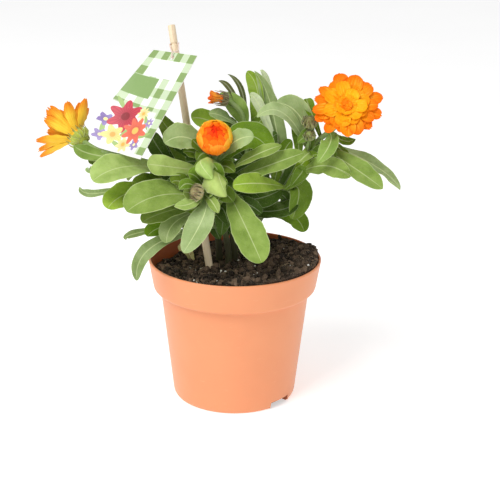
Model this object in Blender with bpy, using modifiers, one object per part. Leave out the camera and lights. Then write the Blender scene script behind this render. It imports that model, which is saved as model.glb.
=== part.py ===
"""Potted calendula: a 12 cm nursery pot with soil, plant, stake and picture card.

Metres, +Z up. The pot's axis is the Z axis and it stands on z = 0. The viewer's side is -Y.
"""
import math
import random

import bmesh
import bpy
from mathutils import Matrix, Vector, noise

MM = 0.001
CLEARANCE = 0.3 * MM

# Pot
RIM_RADIUS = 60.0 * MM
POT_HEIGHT = 100.4 * MM
BAND_HEIGHT = 21.0 * MM
BAND_FOOT_RADIUS = 56.8 * MM
BODY_TOP_RADIUS = 51.8 * MM
BASE_RADIUS = 43.2 * MM
WALL = 1.4 * MM
POT_STEPS = 36
POCKET_ANGLES = (-41.0, 139.0)
POCKET_WIDTH = 18.0 * MM
POCKET_INNER_RADIUS = 34.0 * MM
POCKET_HEIGHT = 5.0 * MM
SLOT_SIZE = Vector((3.0, 10.0, 4.0)) * MM
DRAIN_RADIUS = 3.5 * MM
DRAIN_CIRCLE = 22.0 * MM
DRAIN_COUNT = 4
DRAIN_FIRST_ANGLE = 49.0

# Soil. The heap and the hollow are (x, y, height, spread).
SOIL_LEVEL = 97.0 * MM
SOIL_RINGS = 4
SOIL_TILT = (0.075, -0.045)
SOIL_HEAP = tuple(Vector((42.0, 4.0, 5.0, 15.0)) * MM)
SOIL_HOLLOW = tuple(Vector((-34.0, 20.0, -5.0, 18.0)) * MM)
LUMP_HEIGHT = 1.6 * MM
LUMPS_PER_METRE = 110.0
SOIL_SEED = 7.0
STEM_HOLE_TOP = 116.0 * MM
STEM_HOLE_PLAY = 0.5 * MM
STAKE_HOLE_LENGTH = 90.0 * MM
STAKE_HOLE_PLAY = 0.45 * MM

# Stake and card
STAKE_RADIUS = 2.55 * MM
STAKE_FOOT = Vector((-8.0, -27.0, 42.0)) * MM
STAKE_TOP = Vector((-44.5, 28.0, 256.0)) * MM
GROOVE_BELOW_TOP = 13.0 * MM
GROOVE_RADIUS = 1.9 * MM
STAKE_POINT = 5.0 * MM
CARD_WIDTH = 46.0 * MM
CARD_LENGTH = 79.0 * MM
CARD_THICKNESS = 0.7 * MM
CARD_TOP = Vector((-41.2, 14.5, 239.3)) * MM
CARD_ACROSS = Vector((0.679, -0.733, 0.038))
CARD_DOWN = Vector((-0.446, -0.453, -0.772))
CARD_CURL = 15.0 * MM
CARD_CORNER = 8.0 * MM
CARD_HOLE_RADIUS = 1.9 * MM
CARD_HOLE_BELOW_EDGE = 4.0 * MM
TIE_RADIUS = 0.45 * MM

# Plant
BLADE_THICKNESS = 0.8 * MM
PETAL_THICKNESS = 0.7 * MM
VIA = 0.55
LEAF_ROWS = (0.0, 0.3, 0.58, 0.84, 1.0)
PETAL_ROWS = (0.0, 0.45, 0.8, 1.0)

BRACTS = 8
UPPER = (0.0, -0.55, 0.85)
FRONT = (0.0, -0.85, 0.5)

# Each shoot: the stem's route and radii in mm, then its leaves. A leaf has its place along the stem (0 to 1),
# a point its midrib passes, its tip, its width and the way its upper face looks, with a few shape words.
SHOOTS = {
    "shoot_left": {
        "route": ((-11, 5, 84), (-12, 5, 112), (-19, 7, 134), (-30, 7, 152), (-46, 0, 163),
                  (-62, -6, 170), (-79, -8, 174), (-92, -6, 177)),
        "radii": (2.4, 1.5),
        "leaves": (
            (0.60, (-72, -31, 172), (-91, -44, 166), 24, UPPER, {}),
            (0.54, (-70, -25, 153), (-83, -36, 145), 19, UPPER, {}),
            (0.62, (-90, -24, 152), (-103, -22, 156), 7, UPPER, {"pointed": 1.0}),
            (0.80, (-92, -4, 168), (-99, -4, 170), 7, UPPER, {"pointed": 1.0}),
            (0.74, (-92, -14, 165), (-98, -14, 167), 6, UPPER, {"pointed": 1.0}),
            (0.60, (-52, -2, 178), (-58, 0, 188), 13, (-0.3, -0.9, 0.2), {}),
            (0.66, (-51, 6, 190), (-54, 9, 202), 14, (0.2, -1.0, 0.2), {}),
        ),
    },
    "shoot_low": {
        "route": ((-4, -9, 84), (-5, -10, 112), (-10, -18, 134), (-17, -30, 150), (-21, -41, 158),
                  (-22, -47, 161)),
        "radii": (2.2, 1.6),
        "leaves": (
            (0.78, (-48, -45, 157), (-68, -58, 150), 27, UPPER, {}),
            (0.74, (-45, -42, 145), (-59, -52, 141), 15, UPPER, {}),
            (0.66, (-38, -40, 138), (-44, -48, 126), 14, UPPER, {}),
            (0.86, (-20, -55, 145), (-32, -64, 125), 17, (-0.2, -0.8, 0.55), {}),
            (0.60, (-46, -30, 132), (-57, -38, 127), 13, UPPER, {}),
            (0.52, (-63, -24, 125), (-72, -30, 122), 6, UPPER, {"pointed": 0.8}),
            (0.48, (-54, -46, 122), (-62, -65, 106), 10, (0.3, -0.6, 0.7), {}),
            (0.92, (-29, -56, 156), (-38, -61, 158), 8, UPPER, {"pointed": 0.8}),
            (0.80, (-33, -32, 158), (-41, -35, 163), 11, FRONT, {}),
        ),
    },
    "shoot_center": {
        "route": ((0, 0, 84), (-1, 0, 112), (-5, -4, 140), (-10, -12, 162), (-13, -20, 176), (-14, -23, 181)),
        "radii": (2.5, 1.9),
        "leaves": (
            (0.72, (4, -46, 144), (18, -62, 118), 22, (0.1, -0.7, 0.7), {"neck": 0.3}),
            (0.80, (-42, -33, 173), (-56, -42, 177), 14, FRONT, {}),
            (0.88, (-13, -43, 176), (-25, -50, 173), 12, UPPER, {"wave": 1.6}),
            (0.84, (-12, -50, 168), (-4, -56, 162), 11, UPPER, {"wave": 1.6}),
            (0.92, (-32, -22, 190), (-46, -26, 187), 18, (0.1, -0.75, 0.6), {"wave": 1.4}),
            (0.90, (3, -26, 190), (13, -31, 193), 11, FRONT, {}),
            (0.78, (12, -34, 181), (30, -32, 188), 10, (0.3, -0.6, 0.8), {"wave": 0.8}),
            (0.72, (23, -33, 175), (45, -31, 183), 15, (-0.2, -0.7, 0.7), {}),
            (0.60, (14, -16, 148), (29, -8, 152), 13, FRONT, {}),
            (0.84, (8, -12, 189), (24, -14, 178), 22, (0.0, -0.72, 0.7), {}),
            (0.88, (-27, -22, 180), (-34, -25, 181), 8, FRONT, {"pointed": 0.9}),
        ),
    },
    "shoot_back": {
        "route": ((5, 11, 84), (5, 11, 112), (7, 12, 150), (7, 10, 180), (4, 5, 200), (-3, 1, 209)),
        "radii": (2.4, 1.5),
        "leaves": (
            (0.80, (0, -1, 207), (-10, -4, 216), 12, (-0.3, -0.8, 0.5), {}),
            (0.84, (3, 13, 216), (-6, 17, 225), 5, FRONT, {"pointed": 0.8}),
            (0.92, (-5, 6, 218), (-12, 8, 222), 5, FRONT, {"pointed": 0.8}),
            (0.66, (10, 15, 209), (5, 15, 224), 11, (-0.6, -0.8, 0.0), {"cup": 0.35}),
            (0.66, (23, 18, 216), (16, 22, 227), 6, (0.6, -0.6, 0.0), {"pointed": 0.8}),
            (0.74, (-18, 6, 195), (-30, 4, 197), 14, (0.2, -0.8, 0.6), {}),
            (0.80, (-8, 0, 199), (-18, -2, 202), 10, UPPER, {}),
        ),
    },
    "shoot_right": {
        "route": ((10, 1, 84), (11, 0, 112), (20, -1, 134), (33, -1, 149), (45, -2, 167),
                  (54, -3, 183), (64, -4, 192), (69, -4, 197)),
        "radii": (2.4, 1.7),
        "leaves": (
            (0.56, (14, -44, 161), (-1, -49, 161), 14, FRONT, {}),
            (0.82, (40, 2, 203), (27, 4, 208), 18, FRONT, {"pointed": 0.3}),
            (0.78, (30, -10, 205), (14, -17, 203), 12, UPPER, {"pointed": 0.5}),
            (0.54, (27, 9, 200), (11, 9, 229), 15, (-0.4, -0.9, 0.1), {"cup": 0.35}),
            (0.68, (42, 4, 188), (41, 6, 199), 9, FRONT, {}),
            (0.93, (62, -20, 186), (55, -26, 176), 13, (-0.3, -0.9, 0.3), {}),
            (0.62, (60, -18, 171), (76, -24, 165), 13, FRONT, {"twist": 80.0}),
            (0.84, (81, -22, 169), (97, -30, 159), 17, (0.2, -0.7, 0.7), {"pointed": 0.5}),
            (0.86, (97, 0, 165), (112, -4, 151), 11, UPPER, {"pointed": 0.8}),
            (0.54, (44, -12, 161), (54, -14, 169), 9, FRONT, {}),
            (0.58, (49, 0, 150), (44, -4, 132), 13, (0.8, -0.6, 0.2), {}),
            (0.36, (39, 5, 129), (48, 3, 118), 15, (0.2, -0.7, 0.6), {}),
            (0.38, (31, -6, 137), (43, -5, 141), 10, FRONT, {}),
            (0.94, (73, -6, 185), (80, -8, 187), 6, FRONT, {"pointed": 0.9}),
            (0.88, (49, 4, 206), (47, 6, 211), 8, FRONT, {"pointed": 0.7}),
        ),
    },
}

# Leaves on the far side follow a rule: (shoot, seed, count, lowest and highest place on the stem,
# first and last compass angle in degrees, rise at the tip in mm). Their lengths, widths and arch are in mm.
FAR_LENGTH = (42, 54)
FAR_WIDTH = (14, 18)
FAR_ARCH = 9
FAR_LEAVES = (
    ("shoot_left", 3, 4, (0.34, 0.62), (115, 165), -16),
    ("shoot_back", 5, 6, (0.30, 0.66), (90, 145), -2),
    ("shoot_right", 8, 3, (0.34, 0.60), (76, 98), 2),
)

# Small side buds: (shoot, place on the stem, centre of the bud in mm, radius in mm)
SIDE_BUDS = (
    ("shoot_low", 1.0, (-24, -50, 161), 4.8),
    ("shoot_right", 0.72, (49, -12, 190), 3.3),
    ("shoot_right", 0.80, (49, -8, 198), 4.0),
)

# Each bloom: where the petals' ring sits, the way it looks, and its rings of petals from outside in:
# (count, length, width, lift in degrees, radius and height of the roots, columns of faces). Lengths in mm.
# Where a head leans, its upper petals are longer by that part and its lower ones shorter.
BLOOMS = {
    "bloom_left": {
        "shoot": "shoot_left", "center": (-106, -2, 185), "axis": (-0.676, 0.628, 0.385),
        "cup_radius": 7.0,
        "lean": 0.0,
        "rings": ((12, 23, 8.0, 22, 4.6, 1.0, 2), (8, 22, 7.0, 38, 3.8, 2.0, 1)),
    },
    "bloom_right": {
        "shoot": "shoot_right", "center": (73, -9, 208), "axis": (0.02, -0.86, 0.51),
        "cup_radius": 8.0,
        "lean": 0.12,
        "rings": ((11, 18, 9.0, 8, 5.0, 1.2, 2), (10, 17, 8.0, 27, 4.4, 2.4, 1),
                  (8, 14, 7.0, 46, 3.6, 3.4, 1), (5, 10, 5.5, 66, 2.4, 4.4, 1)),
    },
    "bloom_center": {
        "shoot": "shoot_center", "center": (-13.6, -27, 188.5), "axis": (0.05, -0.72, 0.66),
        "cup_radius": 6.5,
        "lean": 0.0,
        "rings": ((9, 12, 6.5, 58, 4.8, 1.0, 1), (7, 10, 5.5, 70, 3.4, 2.4, 1),
                  (4, 8.5, 4.5, 82, 2.0, 3.6, 1)),
    },
    "bloom_bud": {
        "shoot": "shoot_back", "center": (-9, 0, 212), "axis": (-0.97, -0.10, 0.15),
        "cup_radius": 4.0,
        "lean": 0.0,
        "rings": ((8, 8.5, 3.4, 76, 2.0, 0.8, 1),),
    },
}

DEAD_LEAF = {"root": (-31, 21, 89.4), "via": (-35.5, 26, 96), "tip": (-41, 32, 98), "width": 9}


def surface(name, colour, roughness):
    made = bpy.data.materials.new(name)
    made.use_nodes = True
    shader = made.node_tree.nodes["Principled BSDF"]
    shader.inputs["Base Color"].default_value = (*colour, 1.0)
    shader.inputs["Roughness"].default_value = roughness
    shader.inputs["Metallic"].default_value = 0.0
    return made


def add_object(name, mesh, collection, material=None):
    made = bpy.data.objects.new(name, mesh)
    collection.objects.link(made)
    if material:
        mesh.materials.clear()
        mesh.materials.append(material)
    return made


def remove_object(obj):
    mesh = obj.data
    bpy.data.objects.remove(obj)
    if mesh.users == 0:
        bpy.data.batch_remove([mesh])


def from_bmesh(name, shape, collection, material=None):
    mesh = bpy.data.meshes.new(name)
    shape.to_mesh(mesh)
    shape.free()
    return add_object(name, mesh, collection, material)


def box(name, size, matrix, collection):
    shape = bmesh.new()
    bmesh.ops.create_cube(shape, size=1.0, matrix=matrix @ Matrix.Diagonal((*size, 1.0)))
    return from_bmesh(name, shape, collection)


def rod(name, start, end, radius, sides, collection):
    """A closed cylinder between two points."""
    along = end - start
    turn = along.to_track_quat("Z", "Y").to_matrix().to_4x4()
    place = Matrix.Translation((start + end) / 2) @ turn
    shape = bmesh.new()
    bmesh.ops.create_cone(shape, cap_ends=True, segments=sides, radius1=radius, radius2=radius,
                          depth=along.length, matrix=place)
    return from_bmesh(name, shape, collection)


def ball(name, center, radius, collection, matrix=None):
    shape = bmesh.new()
    place = Matrix.Translation(center) @ (matrix or Matrix.Identity(4))
    bmesh.ops.create_uvsphere(shape, u_segments=8, v_segments=5, radius=radius, matrix=place)
    return from_bmesh(name, shape, collection)


def applied(obj):
    """Fixes the object's modifiers into its mesh."""
    bpy.context.view_layer.update()
    graph = bpy.context.evaluated_depsgraph_get()
    mesh = bpy.data.meshes.new_from_object(obj.evaluated_get(graph))
    old = obj.data
    obj.modifiers.clear()
    obj.data = mesh
    bpy.data.batch_remove([old])
    return obj


def turned(name, profile, steps, collection, material=None):
    """Turns a profile of (radius, height) points, axis to axis, around Z."""
    shape = bmesh.new()
    points = [shape.verts.new((radius, 0.0, height)) for radius, height in profile]
    for first, second in zip(points, points[1:]):
        shape.edges.new((first, second))
    made = from_bmesh(name, shape, collection, material)
    turn = made.modifiers.new("Turn", "SCREW")
    turn.steps = steps
    turn.render_steps = steps
    turn.use_merge_vertices = True
    turn.merge_threshold = 0.00001
    return applied(made)


def combine(target, tools, operation, solver="EXACT"):
    """One Boolean of the target with every tool, applied. The tools are removed."""
    helpers = bpy.data.collections.new("Helpers")
    bpy.context.scene.collection.children.link(helpers)
    for tool in tools:
        for owner in tool.users_collection:
            owner.objects.unlink(tool)
        helpers.objects.link(tool)
    change = target.modifiers.new("Combine", "BOOLEAN")
    change.operation = operation
    change.operand_type = "COLLECTION"
    change.collection = helpers
    change.solver = solver
    applied(target)
    for tool in tools:
        remove_object(tool)
    bpy.data.collections.remove(helpers)
    return target


def smooth_route(points, count):
    """Points evenly spread along a Catmull-Rom curve through the given ones."""
    ends = [points[0] * 2 - points[1], *points, points[-1] * 2 - points[-2]]
    dense = []
    for before, first, second, after in zip(ends, ends[1:], ends[2:], ends[3:]):
        for step in range(16):
            t = step / 16
            dense.append(0.5 * (2 * first + (second - before) * t
                                + (2 * before - 5 * first + 4 * second - after) * t ** 2
                                + (3 * first - before - 3 * second + after) * t ** 3))
    dense.append(points[-1])
    lengths = [0.0]
    for first, second in zip(dense, dense[1:]):
        lengths.append(lengths[-1] + (second - first).length)
    return [point_at(dense, lengths, lengths[-1] * step / (count - 1)) for step in range(count)]


def point_at(points, lengths, distance):
    for index in range(1, len(points)):
        if lengths[index] >= distance - 1e-12:
            span = lengths[index] - lengths[index - 1]
            part = (distance - lengths[index - 1]) / span if span else 0.0
            return points[index - 1].lerp(points[index], part)
    return points[-1].copy()


def along(route, fraction):
    place = fraction * (len(route) - 1)
    index = min(int(place), len(route) - 2)
    return route[index].lerp(route[index + 1], place - index)


def tube(name, points, radii, collection, sides=2, cyclic=False):
    """A tube along a poly line, made a mesh with its caps welded."""
    curve = bpy.data.curves.new(name, "CURVE")
    curve.dimensions = "3D"
    curve.bevel_depth = 1.0
    curve.bevel_resolution = sides
    curve.use_fill_caps = not cyclic
    line = curve.splines.new("POLY")
    line.points.add(len(points) - 1)
    line.use_cyclic_u = cyclic
    for index, point in enumerate(points):
        line.points[index].co = (*point, 1.0)
        line.points[index].radius = radii[0] + (radii[1] - radii[0]) * index / (len(points) - 1)
    drawn = bpy.data.objects.new(name, curve)
    collection.objects.link(drawn)
    bpy.context.view_layer.update()
    graph = bpy.context.evaluated_depsgraph_get()
    mesh = bpy.data.meshes.new_from_object(drawn.evaluated_get(graph))
    bpy.data.objects.remove(drawn)
    bpy.data.curves.remove(curve)
    shape = bmesh.new()
    shape.from_mesh(mesh)
    bmesh.ops.remove_doubles(shape, verts=shape.verts, dist=0.000001)
    bmesh.ops.recalc_face_normals(shape, faces=shape.faces)
    shape.to_mesh(mesh)
    shape.free()
    return add_object(name, mesh, collection)


def blade(name, rows, columns, thickness, place, collection):
    """A thin closed blade: a grid moved by place(u, v), split into triangles and thickened."""
    shape = bmesh.new()
    bmesh.ops.create_grid(shape, x_segments=columns, y_segments=len(rows) - 1, size=1.0)
    for vertex in shape.verts:
        row = round((vertex.co.y + 1) / 2 * (len(rows) - 1))
        vertex.co = place(rows[row], vertex.co.x)
    bmesh.ops.triangulate(shape, faces=shape.faces)
    made = from_bmesh(name, shape, collection)
    thicken = made.modifiers.new("Thickness", "SOLIDIFY")
    thicken.thickness = thickness
    thicken.offset = 0.0
    return applied(made)


def leaf_outline(u, neck, pointed):
    """Half width of a spatula-shaped leaf at u, as a part of its widest half width."""
    widest = 0.62
    if u < widest:
        return neck + (1 - neck) * math.sin(math.pi / 2 * u / widest) ** 1.3
    return max(0.36 - 0.2 * pointed, (1 - ((u - widest) / (1 - widest)) ** 2) ** (0.5 + 0.5 * pointed))


def petal_outline(u):
    return 0.32 + 0.68 * math.sin(math.pi / 2 * min(u / 0.8, 1.0)) - 0.4 * max(0.0, u - 0.8) / 0.2


def bent_blade(root, via, tip, width, face, outline, cup=0.18, wave=0.0, twist=0.0, notch=0.0):
    """The place function of a blade whose midrib runs from root through via to tip."""
    control = (via - (1 - VIA) ** 2 * root - VIA ** 2 * tip) / (2 * VIA * (1 - VIA))

    def place(u, v):
        reach = u * (1 - notch * (1 - abs(v)) * u)
        center = (1 - reach) ** 2 * root + 2 * reach * (1 - reach) * control + reach ** 2 * tip
        forward = ((1 - reach) * (control - root) + reach * (tip - control)).normalized()
        side = forward.cross(Vector(face)).normalized()
        normal = side.cross(forward)
        turn = Matrix.Rotation(math.radians(twist) * (u - 0.5), 3, forward)
        half = width / 2 * outline(u)
        ripple = wave * math.sin(9.0 * u + 2.0 * v) * math.sin(math.pi * u)
        lift = cup * half * abs(v) ** 1.4 + ripple * abs(v)
        return center + turn @ (side * (half * v) + normal * lift)

    return place


def millimetres(point):
    return Vector(point) * MM


def leaf(name, root, via, tip, width, face, collection, neck=0.26, pointed=0.0, **form):
    form["wave"] = form.get("wave", 0.5) * MM
    place = bent_blade(root, millimetres(via), millimetres(tip), width * MM, face,
                       lambda u: leaf_outline(u, max(neck, 3.4 / width), pointed), **form)
    return blade(name, LEAF_ROWS, 2, BLADE_THICKNESS, place, collection)


def soil_top(x, y):
    """Height of the soil: high at the front and right, low behind on the left, with lumps."""
    level = SOIL_LEVEL + SOIL_TILT[0] * x + SOIL_TILT[1] * y
    for middle_x, middle_y, height, spread in (SOIL_HEAP, SOIL_HOLLOW):
        away = (x - middle_x) ** 2 + (y - middle_y) ** 2
        level += height * math.exp(-away / (2 * spread ** 2))
    return level + LUMP_HEIGHT * noise.noise(Vector((x * LUMPS_PER_METRE, y * LUMPS_PER_METRE, SOIL_SEED)))


def outer_profile():
    """The pot's outside, from rim to base, as (radius, height)."""
    band_foot = POT_HEIGHT - BAND_HEIGHT
    return [(RIM_RADIUS - 0.5 * MM, POT_HEIGHT), (RIM_RADIUS, POT_HEIGHT - 0.6 * MM),
            (BAND_FOOT_RADIUS, band_foot + 1.2 * MM), (BAND_FOOT_RADIUS - 0.8 * MM, band_foot),
            (BODY_TOP_RADIUS + 0.9 * MM, band_foot - 0.7 * MM), (BODY_TOP_RADIUS, band_foot - 1.9 * MM),
            (BASE_RADIUS + 0.3 * MM, 3.0 * MM), (BASE_RADIUS - 0.3 * MM, 1.0 * MM),
            (BASE_RADIUS - 1.6 * MM, 0.0)]


def inner_profile(gap=0.0):
    """The pot's inside, from the floor's middle to the rim, drawn in by a gap."""
    band_foot = POT_HEIGHT - BAND_HEIGHT
    floor = 1.6 * MM + gap
    return [(0.0, floor), (BASE_RADIUS - 2.6 * MM - gap, floor), (BASE_RADIUS - 1.6 * MM - gap, floor + MM),
            (BODY_TOP_RADIUS - WALL - gap, band_foot - 2.0 * MM),
            (BODY_TOP_RADIUS - WALL + 0.9 * MM - gap, band_foot + 0.6 * MM),
            (BAND_FOOT_RADIUS - WALL - 0.8 * MM - gap, band_foot + 1.4 * MM),
            (BAND_FOOT_RADIUS - WALL - gap, band_foot + 2.6 * MM),
            (RIM_RADIUS - WALL - 0.3 * MM - gap, POT_HEIGHT)]


def pocket_frame(angle):
    return Matrix.Rotation(math.radians(angle), 4, "Z")


def pocket_block(name, angle, grow, top, collection):
    """A box round a drainage pocket, larger than the pocket by grow."""
    length = BASE_RADIUS + 10 * MM - POCKET_INNER_RADIUS + grow
    bottom = 0.8 * MM if grow else -2.0 * MM
    middle = Vector((POCKET_INNER_RADIUS - grow + length / 2, 0.0, (top + bottom) / 2))
    size = (length, POCKET_WIDTH + 2 * grow, top - bottom)
    return box(name, size, pocket_frame(angle) @ Matrix.Translation(middle), collection)


def make_pot(collection, material):
    pot = turned("pot", inner_profile() + outer_profile() + [(0.0, 0.0)], POT_STEPS, collection, material)
    slimmer = [(max(radius - 0.6 * MM, 0.0), height) for radius, height in outer_profile()]
    envelope = [(0.0, POT_HEIGHT)] + slimmer
    for angle in POCKET_ANGLES:
        housing = pocket_block("Housing", angle, WALL, POCKET_HEIGHT + WALL, collection)
        inside = turned("Envelope", envelope + [(0.0, 0.0)], POT_STEPS, collection)
        combine(housing, [inside], "INTERSECT")
        combine(pot, [housing], "UNION")
    cutters = []
    for angle in POCKET_ANGLES:
        cutters.append(pocket_block("Pocket", angle, 0.0, POCKET_HEIGHT, collection))
        slot_middle = Vector((POCKET_INNER_RADIUS + SLOT_SIZE.x, 0.0, POCKET_HEIGHT))
        slot_place = pocket_frame(angle) @ Matrix.Translation(slot_middle)
        cutters.append(box("Slot", SLOT_SIZE, slot_place, collection))
    for index in range(DRAIN_COUNT):
        turn = math.radians(DRAIN_FIRST_ANGLE + 360.0 / DRAIN_COUNT * index)
        center = Vector((math.cos(turn), math.sin(turn), 0.0)) * DRAIN_CIRCLE
        rise = Vector((0.0, 0.0, 4.0 * MM))
        cutters.append(rod("Drain", center - rise, center + rise, DRAIN_RADIUS, 12, collection))
    return combine(pot, cutters, "DIFFERENCE")


def make_soil(collection, material, holes):
    lower = inner_profile(CLEARANCE)
    rim_radius, rim_height = lower[-1]
    foot_radius, foot_height = lower[-2]
    rings = [(rim_radius * ring / SOIL_RINGS, SOIL_LEVEL) for ring in range(SOIL_RINGS + 1)]
    soil = turned("soil", rings + lower[-2::-1], POT_STEPS, collection, material)
    for vertex in soil.data.vertices:
        if abs(vertex.co.z - SOIL_LEVEL) > 1e-6:
            continue
        height = soil_top(vertex.co.x, vertex.co.y)
        part = min((height - foot_height) / (rim_height - foot_height), 1.0)
        narrower = (foot_radius + (rim_radius - foot_radius) * part) / rim_radius
        vertex.co = (vertex.co.x * narrower, vertex.co.y * narrower, height)
    for angle in POCKET_ANGLES:
        grow = WALL + CLEARANCE
        holes.append(pocket_block("Room", angle, grow, POCKET_HEIGHT + grow, collection))
    return combine(soil, holes, "DIFFERENCE")


def make_stake(collection, material):
    length = (STAKE_TOP - STAKE_FOOT).length
    groove = length - GROOVE_BELOW_TOP
    profile = [(0.0, length), (STAKE_RADIUS - 0.4 * MM, length), (STAKE_RADIUS, length - 0.4 * MM),
               (STAKE_RADIUS, groove + 0.9 * MM), (GROOVE_RADIUS, groove + 0.6 * MM),
               (GROOVE_RADIUS, groove - 0.6 * MM), (STAKE_RADIUS, groove - 0.9 * MM),
               (STAKE_RADIUS, STAKE_POINT), (0.8 * MM, 0.0), (0.0, 0.0)]
    stake = turned("stake", profile, 12, collection, material)
    turn = (STAKE_TOP - STAKE_FOOT).to_track_quat("Z", "Y").to_matrix().to_4x4()
    stake.data.transform(Matrix.Translation(STAKE_FOOT) @ turn)
    return stake


def card_axes():
    down = CARD_DOWN.normalized()
    across = (CARD_ACROSS - CARD_ACROSS.dot(down) * down).normalized()
    return across, down, down.cross(across).normalized()


def card_point(u, v):
    """A point of the card: u from its top edge to its bottom edge, v across it from -1 to 1.

    The left side curls forward towards the bottom, where its corner is round.
    """
    across, down, front = card_axes()
    curl = CARD_CURL * ((1 - v) / 2) ** 3 * u
    half = CARD_WIDTH / 2
    corner = max(0.0, -v * half - half + CARD_CORNER)
    inset = CARD_CORNER - math.sqrt(max(0.0, CARD_CORNER ** 2 - corner ** 2))
    return CARD_TOP + across * (half * v) + down * ((CARD_LENGTH - inset) * u) + front * curl


def card_hole():
    return CARD_TOP + card_axes()[1] * CARD_HOLE_BELOW_EDGE


def make_card(collection, material):
    rows = (0.0, 0.06, 0.2, 0.4, 0.6, 0.8, 0.94, 1.0)
    card = blade("card", rows, 8, CARD_THICKNESS, card_point, collection)
    card.data.materials.append(material)
    front = card_axes()[2]
    reach = front * 5 * MM
    punch = rod("Punch", card_hole() - reach, card_hole() + reach, CARD_HOLE_RADIUS, 12, collection)
    return combine(card, [punch], "DIFFERENCE")


def make_tie(collection, material):
    """The loop that holds the card: round the stake's groove and through the card's hole."""
    across, down, front = card_axes()
    stake_way = (STAKE_TOP - STAKE_FOOT).normalized()
    groove = STAKE_TOP - stake_way * GROOVE_BELOW_TOP
    to_card = card_hole() - groove
    to_card = (to_card - to_card.dot(stake_way) * stake_way).normalized()
    beside = stake_way.cross(to_card)
    reach = GROOVE_RADIUS + TIE_RADIUS + 2 * CLEARANCE
    over_edge = CARD_TOP - down * (TIE_RADIUS + 1.7 * MM)
    proud = TIE_RADIUS + CARD_THICKNESS / 2 + 2 * CLEARANCE
    loop = [groove - to_card * reach, groove - to_card * reach * 0.7 + beside * reach * 0.8,
            groove + beside * reach + to_card * 0.6 * MM, over_edge + beside * 0.8 * MM - front * 0.4 * MM,
            (over_edge + card_hole()) / 2 + front * (proud + 0.6 * MM), card_hole() + front * 0.5 * MM,
            card_hole() - front * (proud + 0.3 * MM),
            groove - beside * reach + to_card * 0.9 * MM - stake_way * 0.3 * MM,
            groove - to_card * reach * 0.7 - beside * reach * 0.8]
    ring = closed_route(loop, 30)
    tie = tube("card_tie", ring, (TIE_RADIUS, TIE_RADIUS), collection, sides=0, cyclic=True)
    tie.data.materials.append(material)
    return tie


def closed_route(points, count):
    """Points along a closed Catmull-Rom curve."""
    total = len(points)
    made = []
    for step in range(count):
        place = step / count * total
        index = int(place)
        t = place - index
        before, first, second, after = (points[(index + offset) % total] for offset in (-1, 0, 1, 2))
        made.append(0.5 * (2 * first + (second - before) * t
                           + (2 * before - 5 * first + 4 * second - after) * t ** 2
                           + (3 * first - before - 3 * second + after) * t ** 3))
    return made


def stem_route(name):
    points = [millimetres(point) for point in SHOOTS[name]["route"]]
    return smooth_route(points, len(points) + 6)


def far_leaves(name, route, collection):
    """Leaves of the far side, spread by a seeded rule."""
    made = []
    for shoot, seed, count, (low, high), (first, last), rise in FAR_LEAVES:
        if shoot != name:
            continue
        draw = random.Random(seed)
        for index in range(count):
            part = (index + 0.5) / count
            root = along(route, low + (high - low) * ((index * 0.618) % 1.0))
            angle = math.radians(first + (last - first) * part)
            way = Vector((math.cos(angle), math.sin(angle), 0.0))
            length = draw.uniform(*FAR_LENGTH) * MM
            lift = (rise + draw.uniform(-5, 5)) * MM
            via = root + way * length * VIA + Vector((0.0, 0.0, 0.5 * lift + FAR_ARCH * MM))
            tip = root + way * length + Vector((0.0, 0.0, lift))
            width = draw.uniform(*FAR_WIDTH)
            made.append(leaf("Leaf", root, via / MM, tip / MM, width, (0, 0, 1), collection))
    return made


def calyx(bloom, collection):
    """The green cup under a flower head, with its ring of pointed bracts."""
    axis = Vector(bloom["axis"]).normalized()
    top = millimetres(bloom["center"])
    radius = bloom["cup_radius"] * MM
    depth = 0.95 * radius
    profile = [(0.0, 0.0), (0.82 * radius, 0.0), (0.86 * radius, -0.25 * depth),
               (0.62 * radius, -0.7 * depth), (0.25 * radius, -depth), (0.0, -depth)]
    cup = turned("Cup", profile, 12, collection)
    turn = axis.to_track_quat("Z", "Y").to_matrix().to_4x4()
    cup.data.transform(Matrix.Translation(top) @ turn)
    made = [cup]
    for index in range(BRACTS):
        angle = 2 * math.pi * index / BRACTS
        way = turn.to_3x3() @ Vector((math.cos(angle), math.sin(angle), 0.0))
        root = top + way * 0.55 * radius - axis * 0.75 * depth
        via = top + way * 0.98 * radius - axis * 0.35 * depth
        tip = top + way * 1.28 * radius - axis * 0.06 * depth
        place = bent_blade(root, via, tip, 0.42 * radius, way, lambda u: max(0.35, 1 - u ** 3))
        made.append(blade("Bract", (0.0, 0.5, 1.0), 1, BLADE_THICKNESS, place, collection))
    return made


def make_shoot(name, collection, material):
    shoot = SHOOTS[name]
    route = stem_route(name)
    radii = [radius * MM for radius in shoot["radii"]]
    stem = tube(name, route, radii, collection, sides=1)
    parts = []
    for at, via, tip, width, face, form in shoot["leaves"]:
        parts.append(leaf("Leaf", along(route, at), via, tip, width, face, collection, **form))
    parts += far_leaves(name, route, collection)
    for shoot_name, at, center, radius in SIDE_BUDS:
        if shoot_name != name:
            continue
        center = millimetres(center)
        parts.append(ball("Bud", center, radius * MM, collection))
        if at < 1.0:
            start = along(route, at)
            middle = start.lerp(center, 0.5) - Vector((0, 0, MM))
            twig = smooth_route([start, middle, center], 5)
            parts.append(tube("Twig", twig, (1.1 * MM, 1.0 * MM), collection, sides=1))
    for bloom in BLOOMS.values():
        if bloom["shoot"] == name:
            axis = Vector(bloom["axis"]).normalized()
            foot = millimetres(bloom["center"]) - axis * 0.6 * bloom["cup_radius"] * MM
            neck = [route[-3], route[-2], route[-1], foot]
            girth = (radii[1] * 0.98, radii[1])
            parts.append(tube("Neck", smooth_route(neck, 8)[3:], girth, collection, sides=1))
            parts += calyx(bloom, collection)
    combine(stem, parts, "UNION")
    stem.data.materials.clear()
    stem.data.materials.append(material)
    return stem


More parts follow.
